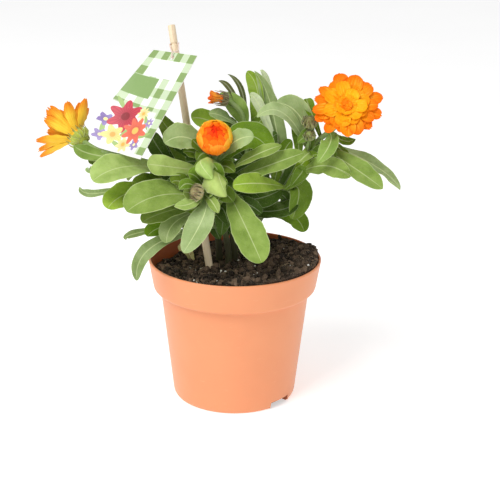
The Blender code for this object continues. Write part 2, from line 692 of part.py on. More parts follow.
def make_bloom(name, collection, material):
    """A flower head: a short core that carries the rings of petals."""
    bloom = BLOOMS[name]
    axis = Vector(bloom["axis"]).normalized()
    turn = axis.to_track_quat("Z", "Y").to_matrix().to_4x4()
    base = millimetres(bloom["center"]) + axis * CLEARANCE
    root_radius = bloom["rings"][0][4] * MM
    top = (bloom["rings"][-1][5] + 2.0) * MM
    profile = [(0.0, top), (0.45 * root_radius, top - 0.4 * MM), (root_radius + 0.8 * MM, 1.6 * MM),
               (root_radius + 0.8 * MM, 0.0), (0.0, 0.0)]
    core = turned(name, profile, 12, collection)
    core.data.transform(Matrix.Translation(base) @ turn)
    draw = random.Random(len(name))
    petals = []
    for ring, (count, length, width, lift, radius, height, columns) in enumerate(bloom["rings"]):
        for index in range(count):
            angle = 2 * math.pi * (index + 0.5 * (ring % 2) + draw.uniform(-0.12, 0.12)) / count
            out = turn.to_3x3() @ Vector((math.cos(angle), math.sin(angle), 0.0))
            slope = math.radians(lift + draw.uniform(-4, 4))
            way = out * math.cos(slope) + axis * math.sin(slope)
            reach = length * MM * draw.uniform(0.9, 1.04) * (1 + bloom["lean"] * out.z)
            root = base + out * radius * MM + axis * height * MM
            via = root + way * reach * VIA + axis * 0.03 * reach
            tip = root + way * reach
            place = bent_blade(root, via, tip, width * MM, axis * math.cos(slope) - out * math.sin(slope),
                               petal_outline, cup=0.22, notch=0.03)
            petals.append(blade("Petal", PETAL_ROWS, columns, PETAL_THICKNESS, place, collection))
    combine(core, petals, "UNION")
    core.data.materials.clear()
    core.data.materials.append(material)
    return core


def stem_holes(collection):
    """Plain holes in the soil, one for each stem and one for the stake."""
    holes = []
    for name, shoot in SHOOTS.items():
        route = stem_route(name)
        radius = shoot["radii"][0] * MM + STEM_HOLE_PLAY
        foot = route[0] - Vector((0.0, 0.0, CLEARANCE))
        way = (route[2] - route[0]).normalized()
        holes.append(rod("Hole", foot, foot + way * (STEM_HOLE_TOP - foot.z), radius, 12, collection))
    stake_way = (STAKE_TOP - STAKE_FOOT).normalized()
    start = STAKE_FOOT - stake_way * CLEARANCE
    end = start + stake_way * STAKE_HOLE_LENGTH
    holes.append(rod("Hole", start, end, STAKE_RADIUS + STAKE_HOLE_PLAY, 12, collection))
    return holes


def make_dead_leaf(collection, material):
    root, via, tip = (millimetres(DEAD_LEAF[key]) for key in ("root", "via", "tip"))
    place = bent_blade(root, via, tip, DEAD_LEAF["width"] * MM, (0.3, -0.8, 0.5),
                       lambda u: leaf_outline(u, 0.4, 0.6), cup=0.3, wave=1.0 * MM)
    made = blade("dead_leaf", LEAF_ROWS, 2, BLADE_THICKNESS, place, collection)
    made.data.materials.append(material)
    return made


def shade(obj):
    obj.data.shade_smooth()
    obj.data.set_sharp_from_angle(angle=math.radians(35))


def main():
    for obj in list(bpy.data.objects):
        bpy.data.objects.remove(obj)
    parts = bpy.data.collections.new("Potted calendula")
    bpy.context.scene.collection.children.link(parts)

    plastic = surface("Terracotta plastic", (0.91, 0.42, 0.22), 0.45)
    earth = surface("Potting soil", (0.045, 0.026, 0.016), 0.95)
    wood = surface("Pale wood", (0.72, 0.55, 0.38), 0.7)
    paper = surface("Coated card", (0.86, 0.9, 0.78), 0.4)
    elastic = surface("Elastic", (0.8, 0.6, 0.5), 0.6)
    green = surface("Leaf green", (0.16, 0.30, 0.06), 0.55)
    orange = surface("Petal orange", (0.95, 0.33, 0.01), 0.5)
    straw = surface("Withered leaf", (0.55, 0.42, 0.22), 0.8)

    make_pot(parts, plastic)
    make_soil(parts, earth, stem_holes(parts))
    make_stake(parts, wood)
    make_card(parts, paper)
    make_tie(parts, elastic)
    for name in SHOOTS:
        make_shoot(name, parts, green)
    for name in BLOOMS:
        make_bloom(name, parts, orange)
    make_dead_leaf(parts, straw)
    for obj in parts.objects:
        shade(obj)


main()
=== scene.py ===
import math
import random

import bmesh
import bpy
from mathutils import Matrix, Vector, noise


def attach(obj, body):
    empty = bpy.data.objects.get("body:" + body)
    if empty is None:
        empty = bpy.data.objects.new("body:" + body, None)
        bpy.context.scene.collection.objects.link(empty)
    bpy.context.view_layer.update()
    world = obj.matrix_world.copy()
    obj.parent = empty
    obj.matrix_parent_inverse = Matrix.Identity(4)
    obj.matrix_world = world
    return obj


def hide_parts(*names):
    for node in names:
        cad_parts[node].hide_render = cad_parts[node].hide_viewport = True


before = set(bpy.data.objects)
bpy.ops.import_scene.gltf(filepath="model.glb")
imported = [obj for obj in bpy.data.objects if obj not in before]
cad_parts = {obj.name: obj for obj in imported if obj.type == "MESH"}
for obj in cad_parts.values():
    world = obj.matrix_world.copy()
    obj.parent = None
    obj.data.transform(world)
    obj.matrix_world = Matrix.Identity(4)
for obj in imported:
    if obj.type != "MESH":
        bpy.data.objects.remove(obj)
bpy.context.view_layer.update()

mm = 0.001  # lengths below are in millimetres and scaled by this
print("frame loaded with", len(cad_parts), "solids")


# Shader nodes written as plain expressions

class Wire:  # one node socket; sums and products of wires add their Math nodes
    def __init__(self, tree, socket=None):
        self.tree = tree
        self.socket = socket

    def make(self, kind, settings=None, values=None, output=0):  # any node: settings first, then its sockets
        node = self.tree.nodes.new("ShaderNode" + kind)
        for name, value in (settings or {}).items():
            setattr(node, name, value)
        for name, value in (values or {}).items():
            if isinstance(value, Wire):
                self.tree.links.new(value.socket, node.inputs[name])
            else:
                node.inputs[name].default_value = value
        return Wire(self.tree, node.outputs[output]) if len(node.outputs) else None

    def maths(self, operation, *values):
        return self.make("Math", {"operation": operation}, dict(enumerate(values)))

    def __add__(self, other):
        return self.maths("ADD", self, other)

    def __radd__(self, other):
        return self.maths("ADD", other, self)

    def __sub__(self, other):
        return self.maths("SUBTRACT", self, other)

    def __rsub__(self, other):
        return self.maths("SUBTRACT", other, self)

    def __mul__(self, other):
        return self.maths("MULTIPLY", self, other)

    def __rmul__(self, other):
        return self.maths("MULTIPLY", other, self)

    def __truediv__(self, other):
        return self.maths("DIVIDE", self, other)

    def __rtruediv__(self, other):
        return self.maths("DIVIDE", other, self)

    def __abs__(self):
        return self.maths("ABSOLUTE", self)

    def fraction(self):
        return self.maths("FRACT", self)

    def sine(self):
        return self.maths("SINE", self)

    def least(self, other):
        return self.maths("MINIMUM", self, other)

    def most(self, other):
        return self.maths("MAXIMUM", self, other)

    def rise(self, low, high):  # 0 below low, 1 above high, smooth between
        return self.make("MapRange", {"interpolation_type": "SMOOTHSTEP"},
                         {"Value": self, "From Min": low, "From Max": high, "To Min": 0.0, "To Max": 1.0})

    def attribute(self, name):
        return self.make("Attribute", {"attribute_name": name}, {}, "Vector")

    def here(self):  # the point's place on the object, in metres
        return self.make("TexCoord", {}, {}, "Object")

    def split(self):
        parts = self.make("SeparateXYZ", {}, {"Vector": self}).socket.node.outputs
        return [Wire(self.tree, part) for part in parts]

    def joined(self, x, y, z):
        return self.make("CombineXYZ", {}, {"X": x, "Y": y, "Z": z})

    def stretched(self, factors):
        return self.make("VectorMath", {"operation": "MULTIPLY"}, {0: self, 1: factors})

    def grain(self, place, scale, detail=3.0, rough=0.55):
        values = {"Vector": place, "Scale": scale, "Detail": detail, "Roughness": rough}
        return self.make("TexNoise", {}, values)

    def mixed(self, first, second, factor, mode="MIX"):  # colours go through a Mix node
        values = {0: factor}
        for index, colour in ((6, first), (7, second)):
            values[index] = colour if isinstance(colour, Wire) else (*colour, 1.0)
        return self.make("Mix", {"data_type": "RGBA", "blend_type": mode}, values, 2)

    def bump(self, height, distance, strength=1.0):
        return self.make("Bump", {}, {"Height": height, "Distance": distance, "Strength": strength})


def startFinish(name):
    material = bpy.data.materials.new(name)
    material.use_nodes = True
    material.node_tree.nodes.clear()
    return material, Wire(material.node_tree)


def glow(weight, scale, radius):  # light that wanders under the surface
    return {"Subsurface Weight": weight, "Subsurface Scale": scale, "Subsurface Radius": radius}


def sheen(weight, roughness, tint):
    return {"Sheen Weight": weight, "Sheen Roughness": roughness, "Sheen Tint": (*tint, 1.0)}


def endFinish(wire, values):
    wire.make("OutputMaterial", {}, {"Surface": wire.make("BsdfPrincipled", {}, values)})


# Small tools for meshes

readings = ("blade", "size", "tint", "tipTint")  # what the finishes read from a mesh


def startShape():
    shape = bmesh.new()
    for name in readings:
        shape.verts.layers.float_vector.new(name)
    return shape


def note(shape, vertex, values):
    for name, value in values.items():
        vertex[shape.verts.layers.float_vector[name]] = value


def addObject(name, shape, finishes=()):
    mesh = bpy.data.meshes.new(name)
    shape.to_mesh(mesh)
    shape.free()
    for finish in finishes:
        mesh.materials.append(finish)
    made = bpy.data.objects.new(name, mesh)
    bpy.context.scene.collection.objects.link(made)
    return made


def smooth(piece, angle):
    piece.data.shade_smooth()
    piece.data.set_sharp_from_angle(angle=math.radians(angle))


def addPiece(name, shape, finishes, nodes, smoothAngle):
    bmesh.ops.recalc_face_normals(shape, faces=shape.faces)
    piece = addObject(name, shape, finishes)
    smooth(piece, smoothAngle)
    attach(piece, "root")
    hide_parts(*nodes)
    triangles = sum(len(face.vertices) - 2 for face in piece.data.polygons)
    print("made", name, "with", triangles, "triangles")
    return piece


def curvePoint(before, first, second, after, t):  # on a Catmull-Rom curve, from first at 0 to second at 1
    return 0.5 * (2 * first + (second - before) * t + (2 * before - 5 * first + 4 * second - after) * t ** 2
                  + (3 * first - before - 3 * second + after) * t ** 3)


def smoothRoute(points, count):  # points evenly spread on a smooth curve
    ends = [points[0] * 2 - points[1], *points, points[-1] * 2 - points[-2]]
    dense = []
    for before, first, second, after in zip(ends, ends[1:], ends[2:], ends[3:]):
        dense += [curvePoint(before, first, second, after, step / 16) for step in range(16)]
    dense.append(points[-1])
    lengths = [0.0]
    for first, second in zip(dense, dense[1:]):
        lengths.append(lengths[-1] + (second - first).length)
    made = []
    index = 1
    for step in range(count):
        distance = lengths[-1] * step / (count - 1)
        while index < len(dense) - 1 and lengths[index] < distance:
            index += 1
        span = lengths[index] - lengths[index - 1]
        share = (distance - lengths[index - 1]) / span if span else 0.0
        made.append(dense[index - 1].lerp(dense[index], share))
    return made


def along(route, fraction):
    place = fraction * (len(route) - 1)
    index = min(int(place), len(route) - 2)
    return route[index].lerp(route[index + 1], place - index)


def millimetres(values):
    return Vector(values) * mm


def scattered(draw, low, high):  # a vector of three random parts
    return Vector([draw.uniform(low, high) for axis in range(3)])


def joinRings(shape, rings, steps, finish=0):  # faces from ring to ring; a ring of one vertex is a tip
    for first, second in zip(rings, rings[1:]):
        for step in range(steps):
            corners = [first[step % len(first)], first[(step + 1) % len(first)],
                       second[(step + 1) % len(second)], second[step % len(second)]]
            corners = list(dict.fromkeys(corners))
            if len(corners) > 2:
                shape.faces.new(corners).material_index = finish


# A profile of (radius, height) turned about Z
def turned(shape, profile, steps, place=None, finish=0, wobble=None):
    place = place or Matrix.Identity(4)
    rings = []
    for radius, height in profile:
        if radius <= 0.0:
            rings.append([shape.verts.new(place @ Vector((0.0, 0.0, height)))])
            continue
        ring = []
        for step in range(steps):
            angle = 2 * math.pi * step / steps
            grown = radius * (wobble(angle, height) if wobble else 1.0)
            point = Vector((grown * math.cos(angle), grown * math.sin(angle), height))
            ring.append(shape.verts.new(place @ point))
        rings.append(ring)
    joinRings(shape, rings, steps, finish)
    return [vertex for ring in rings for vertex in ring]


def sweep(shape, route, radii, sides, values, finish=0, ribs=0.0, closed=False):  # a tube along a route
    count = len(route)
    forward = [(route[(i + 1) % count if closed else min(i + 1, count - 1)]
                - route[(i - 1) % count if closed else max(i - 1, 0)]).normalized() for i in range(count)]
    side = forward[0].orthogonal().normalized()
    rings = []
    for index, point in enumerate(route):
        side = (side - forward[index] * side.dot(forward[index])).normalized()
        other = forward[index].cross(side)
        part = index / (count - 1)
        radius = radii[0] + (radii[1] - radii[0]) * part
        ring = []
        for step in range(sides):
            angle = 2 * math.pi * step / sides
            grown = radius * (1 + ribs * math.cos(5 * angle))
            vertex = shape.verts.new(point + (side * math.cos(angle) + other * math.sin(angle)) * grown)
            note(shape, vertex, {"blade": (part, 2.0 * step / sides - 1.0, 1.0), **values})
            ring.append(vertex)
        rings.append(ring)
    joinRings(shape, rings + rings[:1] if closed else rings, sides, finish)
    if not closed:
        shape.faces.new(rings[0]).material_index = finish
        shape.faces.new(rings[-1]).material_index = finish


# A thin closed sheet with an upper and a lower side
def addBlade(shape, rows, columns, place, depth, values, finish=0):
    upper, lower = [], []
    for u in rows:
        upRow, lowRow = [], []
        for v in columns:
            point, normal = place(u, v)
            half = normal * depth(u, v) / 2
            for row, corner, sideOf in ((upRow, point + half, 1.0), (lowRow, point - half, -1.0)):
                vertex = shape.verts.new(corner)
                note(shape, vertex, {"blade": (u, v, sideOf), **values})
                row.append(vertex)
        upper.append(upRow)
        lower.append(lowRow)

    def quad(*corners):
        shape.faces.new(corners).material_index = finish

    last = len(columns) - 1
    for up, upNext, low, lowNext in zip(upper, upper[1:], lower, lower[1:]):
        for c in range(last):
            quad(up[c], up[c + 1], upNext[c + 1], upNext[c])
            quad(low[c], lowNext[c], lowNext[c + 1], low[c + 1])
        quad(up[0], upNext[0], lowNext[0], low[0])
        quad(upNext[last], up[last], low[last], lowNext[last])
    for up, low in ((upper[0], lower[0]), (upper[-1], lower[-1])):
        for c in range(last):
            quad(up[c], up[c + 1], low[c + 1], low[c])
    return upper


def addHair(shape, root, way, draw, kind, look):  # one fine hair, a long thin triangle
    form = hairForm[kind]
    length = draw.uniform(*form["length"]) * mm
    side = way.orthogonal().normalized() * (form["thick"] * mm) / 2
    corners = [shape.verts.new(point) for point in (root - side, root + side, root + way * length)]
    for vertex in corners:
        note(shape, vertex, look)
    shape.faces.new(corners).material_index = 1  # the stem's green


def bentBlade(root, via, tip, width, face, outline, cup=0.18, wave=0.5, twist=0.0, reach=None, crease=0.0,
              ruffle=0.0, seed=0.0, channel=0.0, roll=0.0):
    share = 0.55  # where along the blade the via point lies
    control = (via - (1 - share) ** 2 * root - share ** 2 * tip) / (2 * share * (1 - share))
    face = Vector(face)

    def place(u, v):
        far = u * (reach(v, u) if reach else 1.0)
        center = (1 - far) ** 2 * root + 2 * far * (1 - far) * control + far ** 2 * tip
        forward = ((1 - far) * (control - root) + far * (tip - control)).normalized()
        side = forward.cross(face).normalized()
        normal = side.cross(forward)
        turn = Matrix.Rotation(math.radians(twist) * (u - 0.5), 3, forward)
        half = width / 2 * outline(u)
        swell = math.sin(math.pi * u)
        lift = cup * half * abs(v) ** 1.4 + wave * mm * math.sin(9.0 * u + 2.0 * v) * abs(v) * swell
        lift += ruffle * mm * math.sin(21.0 * u + 6.3 * seed + (1.3 if v > 0 else 0.0)) * v * v * swell
        lift -= crease * mm * math.exp(-(v * half / (0.9 * mm)) ** 2) * (1 - 0.6 * u)
        lift += channel * mm * math.cos(4 * math.pi * v) * math.sin(math.pi * min(1.0, 0.15 + u))
        bend = roll * v * v  # the margins roll over towards the lower side
        across = side * (half * v * (1 - 0.5 * abs(bend))) - normal * (half * bend * abs(v))
        return center + turn @ (across + normal * lift), turn @ normal

    return place


# The pot

potForm = {
    "steps": 120,
    "outside": ((58.5, 100.2), (58.8, 100.4), (59.4, 100.4), (59.8, 100.15), (60.0, 99.7), (59.9, 98.9),
                (58.4, 90.0), (56.95, 81.6), (56.8, 80.9), (56.5, 80.2), (56.0, 79.6), (55.2, 79.2),
                (54.0, 78.9), (52.9, 78.6), (52.25, 78.1), (51.9, 77.3), (51.7, 76.0), (48.0, 43.0),
                (43.75, 5.0), (43.5, 2.8), (43.1, 1.4), (42.5, 0.5), (41.6, 0.0)),
    "inside": ((0.0, 1.6), (40.0, 1.6), (41.1, 2.1), (41.7, 3.2), (50.3, 76.8), (50.6, 78.4),
               (51.3, 79.6), (52.6, 80.3), (54.4, 80.8), (55.1, 81.4), (55.5, 82.6), (58.2, 99.8)),
    "pocketAngles": (-41.0, 139.0),
    "pocketReach": (34.0, 53.2),  # from inside the wall to well outside it
    "pocketWidth": 18.0,
    "pocketHeight": 5.0,
    "housingFloor": 0.8,
    "wall": 1.4,
    "outerSkin": 0.8,  # what lies deeper than this has the inside's darker finish, painted shade
    "slot": (3.0, 10.0, 4.0),  # a slot in each pocket's roof: inwards, across and up
    "drainCircle": 22.0,
    "drainRadius": 3.5,
    "drainFirst": 49.0,
    "drains": 4,
    "smoothAngle": 42.0,
    # main and deeper colour, and roughness
    "outsideLook": ((0.79, 0.305, 0.140), (0.73, 0.262, 0.115), 0.36),
    # the inside's colours are darker copies of the outside's: painted shade on the inside wall
    "insideShadeLook": ((0.42, 0.085, 0.012), (0.33, 0.06, 0.009), 0.5),
}


def plasticFinish(name, main, deep, roughness):
    material, wire = startFinish(name)
    place = wire.here()
    cloud = wire.grain(place, 28.0, 4.0)
    fleck = wire.grain(place, 900.0, 2.0)
    height = place.split()[2]
    wear = wire.grain(place.stretched((1.0, 1.0, 5.0)), 90.0, 5.0, 0.7).rise(0.6, 0.78)
    colour = wire.mixed(main, deep, cloud.rise(0.35, 0.75) * 0.35)
    colour = wire.mixed(colour, (0.97, 0.62, 0.42), wear * 0.16)
    foot = 1 - height.rise(0.0, 0.008)
    colour = wire.mixed(colour, (0.62, 0.30, 0.16), foot * 0.22)
    normal = wire.bump(fleck * 0.5 + cloud * 2.0, 0.00005, 0.5)
    endFinish(wire, {"Base Color": colour, "Roughness": roughness + wear * 0.14 + fleck * 0.06,
                     "Normal": normal, "Specular IOR Level": 0.42,
                     **glow(0.12, 0.002, (1.0, 0.45, 0.25))})
    return material


def boxBetween(low, high, turn):
    shape = bmesh.new()
    low, high = millimetres(low), millimetres(high)
    size = high - low
    middle = (high + low) / 2
    place = turn @ Matrix.Translation(middle) @ Matrix.Diagonal((*size, 1.0))
    bmesh.ops.create_cube(shape, size=1.0, matrix=place)
    return shape


def cut(target, tools, operation):  # Booleans of the target with each tool in turn, applied
    for shape in tools:
        tool = addObject("tool", shape)
        change = target.modifiers.new("cut", "BOOLEAN")
        change.operation = operation
        change.solver = "EXACT"
        change.object = tool
        bpy.context.view_layer.update()
        made = bpy.data.meshes.new_from_object(target.evaluated_get(bpy.context.evaluated_depsgraph_get()))
        target.modifiers.clear()
        target.data = made
        bpy.data.objects.remove(tool)


def potRadius(height, profile):  # radius of a profile at a height in millimetres
    points = sorted(profile, key=lambda item: item[1])
    for (firstRadius, low), (secondRadius, high) in zip(points, points[1:]):
        if low <= height <= high and high > low:
            return firstRadius + (secondRadius - firstRadius) * (height - low) / (high - low)
    return points[-1][0]


def makePot():
    form = potForm
    shape = startShape()
    profile = [(r * mm, z * mm) for r, z in form["inside"] + form["outside"] + ((0.0, 0.0),)]
    turned(shape, profile, form["steps"])
    outer = plasticFinish("potPlastic", *form["outsideLook"])
    # the inside wall's finish is a darker copy of the same plastic, painted shade
    inner = plasticFinish("potInsideShade", *form["insideShadeLook"])
    pot = addPiece("pot_turned", shape, (outer, inner), ("pot",), form["smoothAngle"])
    first, last = form["pocketReach"]
    half, wall, high = form["pocketWidth"] / 2, form["wall"], form["pocketHeight"]
    foot = potRadius(2.0, form["outside"]) - 1.2
    turns = [Matrix.Rotation(math.radians(angle), 4, "Z") for angle in form["pocketAngles"]]
    for turn in turns:
        lowest = (first - wall, -half - wall, form["housingFloor"])
        cut(pot, [boxBetween(lowest, (foot, half + wall, high + wall), turn)], "UNION")
    for turn in turns:
        slotSize = Vector(form["slot"]) / 2
        slotMiddle = Vector((first + form["slot"][0], 0.0, high))
        cut(pot, [boxBetween((first, -half, -2.0), (last, half, high), turn),
                  boxBetween(slotMiddle - slotSize, slotMiddle + slotSize, turn)], "DIFFERENCE")
    drains = []
    for index in range(form["drains"]):
        turn = math.radians(form["drainFirst"] + 360.0 / form["drains"] * index)
        drill = bmesh.new()
        place = Matrix.Translation(Vector((math.cos(turn), math.sin(turn), 0.0)) * form["drainCircle"] * mm)
        bmesh.ops.create_cone(drill, cap_ends=True, segments=28, radius1=form["drainRadius"] * mm,
                              radius2=form["drainRadius"] * mm, depth=8 * mm, matrix=place)
        drains.append(drill)
    cut(pot, drains, "DIFFERENCE")
    # faces of the inside wall take the darker finish, painted shade
    for face in pot.data.polygons:
        flat = Vector((face.center.x, face.center.y, 0.0))
        middle = (potRadius(face.center.z / mm, form["outside"]) - form["outerSkin"]) * mm
        if face.center.z > 1.2 * mm and flat.length < middle and face.normal.dot(flat) < 0.3 * flat.length:
            face.material_index = 1
    smooth(pot, form["smoothAngle"])


makePot()


# The soil

soilForm = {
    "level": 97.0,
    "tilt": (0.075, -0.045),
    "heap": (42.0, 4.0, 5.0, 15.0),  # x, y, height and spread
    "hollow": (-34.0, 20.0, -5.0, 18.0),
    "rings": 64,
    "steps": 200,
    "spread": 57.0,
    "sides": (88.0, 82.6, 78.4, 3.2),  # heights where the soil's side meets the pot's wall
    "middleBottom": 7.5,
    "lumps": ((95.0, 2.3, 7.0), (300.0, 1.7, 3.0), (760.0, 0.9, 5.0)),  # per metre, height in mm, seed
    "crumbs": 2500,
    "crumbSize": (0.4, 2.6),
    "finerFrom": 0.75,  # larger crumbs have more faces
    "heapCrumbs": 260,  # they stand against the rim at the right
    "heapAngles": (-0.5, 0.62),
    "heapReach": 57.6,
    "heapFoot": 100.0,
    "heapSize": (0.5, 1.5),
    "perlite": ((34, 37), (14, -15), (-9, -24), (-6, -25), (-23, -11), (-31, -7), (2, 0), (32, -18),
                (50, -24), (-17, -24)),
    "perliteSize": (0.75, 1.15),
    "morePerlite": 110,
    "smallPerlite": (0.22, 0.6),
    "fibres": 90,
    "fibreRadii": (0.16, 0.07),
    "fibreStep": 1.9,
    "seed": 11,
}


def soilTop(x, y, levels=3):  # all in metres
    form = soilForm
    height = form["level"] * mm + form["tilt"][0] * x + form["tilt"][1] * y
    for middleX, middleY, high, spread in (form["heap"], form["hollow"]):
        away = (x - middleX * mm) ** 2 + (y - middleY * mm) ** 2
        height += high * mm * math.exp(-away / (2 * (spread * mm) ** 2))
    for scale, high, seed in form["lumps"][:levels]:
        height += high * mm * noise.noise(Vector((x * scale, y * scale, seed)))
    return height


def wallRadius(height):  # the pot's inner wall, less a small gap
    return min(potRadius(min(height / mm, 99.8), potForm["inside"][3:]), 58.2) * mm - 0.3 * mm


def soilFinish():
    material, wire = startFinish("pottingSoil")
    place = wire.here()
    shade = wire.attribute("tint").split()[0]  # each crumb's own shade, 0.5 on the bed itself
    clumps = wire.grain(place, 160.0, 4.0, 0.6)
    grains = wire.grain(place, 1100.0, 3.0, 0.7)
    colour = wire.mixed((0.010, 0.006, 0.003), (0.150, 0.098, 0.062),
                        (clumps * 0.6 + shade * 0.9 - 0.4).rise(0.0, 0.85))
    colour = wire.mixed(colour, (0.21, 0.155, 0.11), grains.rise(0.54, 0.74) * (0.2 + shade * 0.6))
    colour = wire.mixed(colour, (0.32, 0.26, 0.20), wire.grain(place, 2600.0, 1.0).rise(0.64, 0.70) * 0.8)
    normal = wire.bump(grains + clumps * 0.5, 0.0006, 0.9)
    endFinish(wire, {"Base Color": colour, "Roughness": 0.82 + grains * 0.18, "Normal": normal,
                     "Specular IOR Level": 0.3})
    return material


def perliteFinish():
    material, wire = startFinish("perlite")
    pits = wire.grain(wire.here(), 2400.0, 3.0)
    colour = wire.mixed((0.86, 0.84, 0.78), (0.52, 0.47, 0.38), pits.rise(0.52, 0.75))
    endFinish(wire, {"Base Color": colour, "Roughness": 0.75 + pits * 0.2,
                     "Normal": wire.bump(pits, 0.0002, 0.6)})
    return material


def fibreFinish():
    material, wire = startFinish("rootFibre")
    mottle = wire.grain(wire.here(), 700.0, 2.0)
    colour = wire.mixed((0.44, 0.34, 0.22), (0.20, 0.13, 0.07), mottle.rise(0.4, 0.7))
    endFinish(wire, {"Base Color": colour, "Roughness": 0.7 + mottle * 0.2})
    return material


def lumpTemplate(subdivisions):
    shape = bmesh.new()
    bmesh.ops.create_icosphere(shape, subdivisions=subdivisions, radius=1.0)
    points = [vertex.co.copy() for vertex in shape.verts]
    faces = [[vertex.index for vertex in face.verts] for face in shape.faces]
    shape.free()
    return points, faces


def addLump(shape, template, center, radius, draw, shade, finish):
    points, faces = template
    angle = draw.uniform(0, 6.28)
    turn = Matrix.Rotation(angle, 3, Vector((draw.uniform(-1, 1), draw.uniform(-1, 1), 1.0)).normalized())
    stretch = Vector((draw.uniform(0.7, 1.35), draw.uniform(0.7, 1.2), draw.uniform(0.55, 0.9)))
    offset = scattered(draw, 0, 50)
    made = []
    for point in points:
        rough = 1 + 0.45 * noise.noise(point * 1.6 + offset) + 0.2 * noise.noise(point * 4.0 + offset)
        vertex = shape.verts.new(center + turn @ (point * stretch) * radius * rough)
        note(shape, vertex, {"tint": (shade, shade, shade)})
        made.append(vertex)
    for face in faces:
        shape.faces.new([made[index] for index in face]).material_index = finish


def makeSoil():
    form = soilForm
    shape = startShape()
    steps, spread = form["steps"], form["spread"] * mm
    edge = []
    for step in range(steps):
        angle = 2 * math.pi * step / steps
        high = soilTop(spread * math.cos(angle), spread * math.sin(angle))
        edge.append((math.cos(angle), math.sin(angle), wallRadius(high)))
    rings = [[shape.verts.new((0.0, 0.0, soilTop(0.0, 0.0)))]]
    for ring in range(1, form["rings"] + 1):
        share = ring / form["rings"]
        row = []
        for cosine, sine, reach in edge:
            x, y = cosine * reach * share, sine * reach * share
            row.append(shape.verts.new((x, y, soilTop(x, y))))
        rings.append(row)
    for height in form["sides"]:
        radius = wallRadius(height * mm)
        rings.append([shape.verts.new((cosine * radius, sine * radius, height * mm))
                      for cosine, sine, reach in edge])
    rings.append([shape.verts.new((0.0, 0.0, form["middleBottom"] * mm))])
    joinRings(shape, rings, steps)
    for vertex in shape.verts:
        note(shape, vertex, {"tint": (0.42, 0.42, 0.42)})
    draw = random.Random(form["seed"])
    small, large = lumpTemplate(1), lumpTemplate(2)
    smallest, largest = form["crumbSize"]
    for index in range(form["crumbs"]):
        angle = draw.uniform(0, 2 * math.pi)
        share = math.sqrt(draw.random())
        size = (smallest + (largest - smallest) * draw.random() ** 2.6) * mm
        high = soilTop(spread * share * math.cos(angle), spread * share * math.sin(angle))
        radius = share * (wallRadius(high) - size * 0.9)
        x, y = radius * math.cos(angle), radius * math.sin(angle)
        center = Vector((x, y, soilTop(x, y) + size * draw.uniform(-0.1, 0.55)))
        addLump(shape, large if size > form["finerFrom"] * mm else small, center, size, draw,
                draw.uniform(0.1, 1.0), 0)
    for index in range(form["heapCrumbs"]):
        angle = draw.uniform(*form["heapAngles"])
        size = draw.uniform(*form["heapSize"]) * mm
        radius = form["heapReach"] * mm - size * draw.uniform(0.4, 1.6)
        x, y = radius * math.cos(angle), radius * math.sin(angle)
        top = soilTop(x, y, 2)
        if top > form["heapFoot"] * mm:
            center = Vector((x, y, draw.uniform(form["heapFoot"] * mm + 0.2 * mm, top)))
            addLump(shape, large, center, size, draw, draw.uniform(0.2, 1.0), 0)
    grains = [(x, y, draw.uniform(*form["perliteSize"])) for x, y in form["perlite"]]
    for index in range(form["morePerlite"]):
        angle, share = draw.uniform(0, 2 * math.pi), math.sqrt(draw.random())
        size = draw.uniform(*form["smallPerlite"])
        grains.append((55 * share * math.cos(angle), 55 * share * math.sin(angle), size))
    for x, y, size in grains:
        center = Vector((x * mm, y * mm, soilTop(x * mm, y * mm) + size * 0.5 * mm))
        addLump(shape, large, center, size * mm, draw, 1.0, 1)
    radii = [radius * mm for radius in form["fibreRadii"]]
    for index in range(form["fibres"]):
        angle, share = draw.uniform(0, 2 * math.pi), math.sqrt(draw.random())
        x, y = 50 * mm * share * math.cos(angle), 50 * mm * share * math.sin(angle)
        way, turnBy = draw.uniform(0, 2 * math.pi), draw.uniform(-0.5, 0.5)
        points = []
        for step in range(5):
            arch = (0.5 + 1.0 * math.sin(math.pi * step / 4) * draw.random()) * mm
            points.append(Vector((x, y, soilTop(x, y) + arch)))
            x += math.cos(way) * form["fibreStep"] * mm
            y += math.sin(way) * form["fibreStep"] * mm
            way += turnBy + draw.uniform(-0.35, 0.35)
        if math.hypot(x, y) < 55 * mm:
            sweep(shape, smoothRoute(points, 14), radii, 5, {}, 2)
    finishes = (soilFinish(), perliteFinish(), fibreFinish())
    addPiece("soil_crumbly", shape, finishes, ("soil",), 38.0)


makeSoil()


# The stake, the card and its loop

stakeForm = {
    "radius": 2.55,
    "foot": (-8.0, -27.0, 42.0),
    "top": (-44.5, 28.0, 256.0),
    "grooveBelowTop": 13.0,
    "grooveRadius": 1.9,
    "point": 5.0,
    "sides": 28,
}


def woodFinish():
    material, wire = startFinish("paleWood")
    local = wire.attribute("size")  # place measured along the stake
    fibre = wire.grain(local.stretched((1.0, 1.0, 0.035)), 1500.0, 5.0, 0.65)
    bands = wire.grain(local.stretched((1.0, 1.0, 0.012)), 420.0, 3.0)
    pores = wire.grain(local.stretched((1.0, 1.0, 0.06)), 3200.0, 2.0).rise(0.62, 0.72)
    colour = wire.mixed((0.80, 0.67, 0.48), (0.64, 0.47, 0.30),
                        bands.rise(0.35, 0.7) * 0.7 + fibre.rise(0.5, 0.8) * 0.3)
    colour = wire.mixed(colour, (0.36, 0.25, 0.15), pores * 0.4)
    height = wire.here().split()[2]
    colour = wire.mixed(colour, (0.97, 0.80, 0.56), (1 - height.rise(0.125, 0.165)) * 0.7)  # painted light: paler low down, lifting the shade the leaves cast on the stake
    colour = wire.mixed(colour, (0.30, 0.19, 0.10), (1 - height.rise(0.095, 0.100)) * 0.3)  # damp by the soil
    endFinish(wire, {"Base Color": colour, "Roughness": 0.62 + fibre * 0.2, "Specular IOR Level": 0.3,
                     "Normal": wire.bump(fibre - pores * 0.6, 0.00012, 0.8)})
    return material


def stakeWay():
    return (Vector(stakeForm["top"]) - Vector(stakeForm["foot"])).normalized()


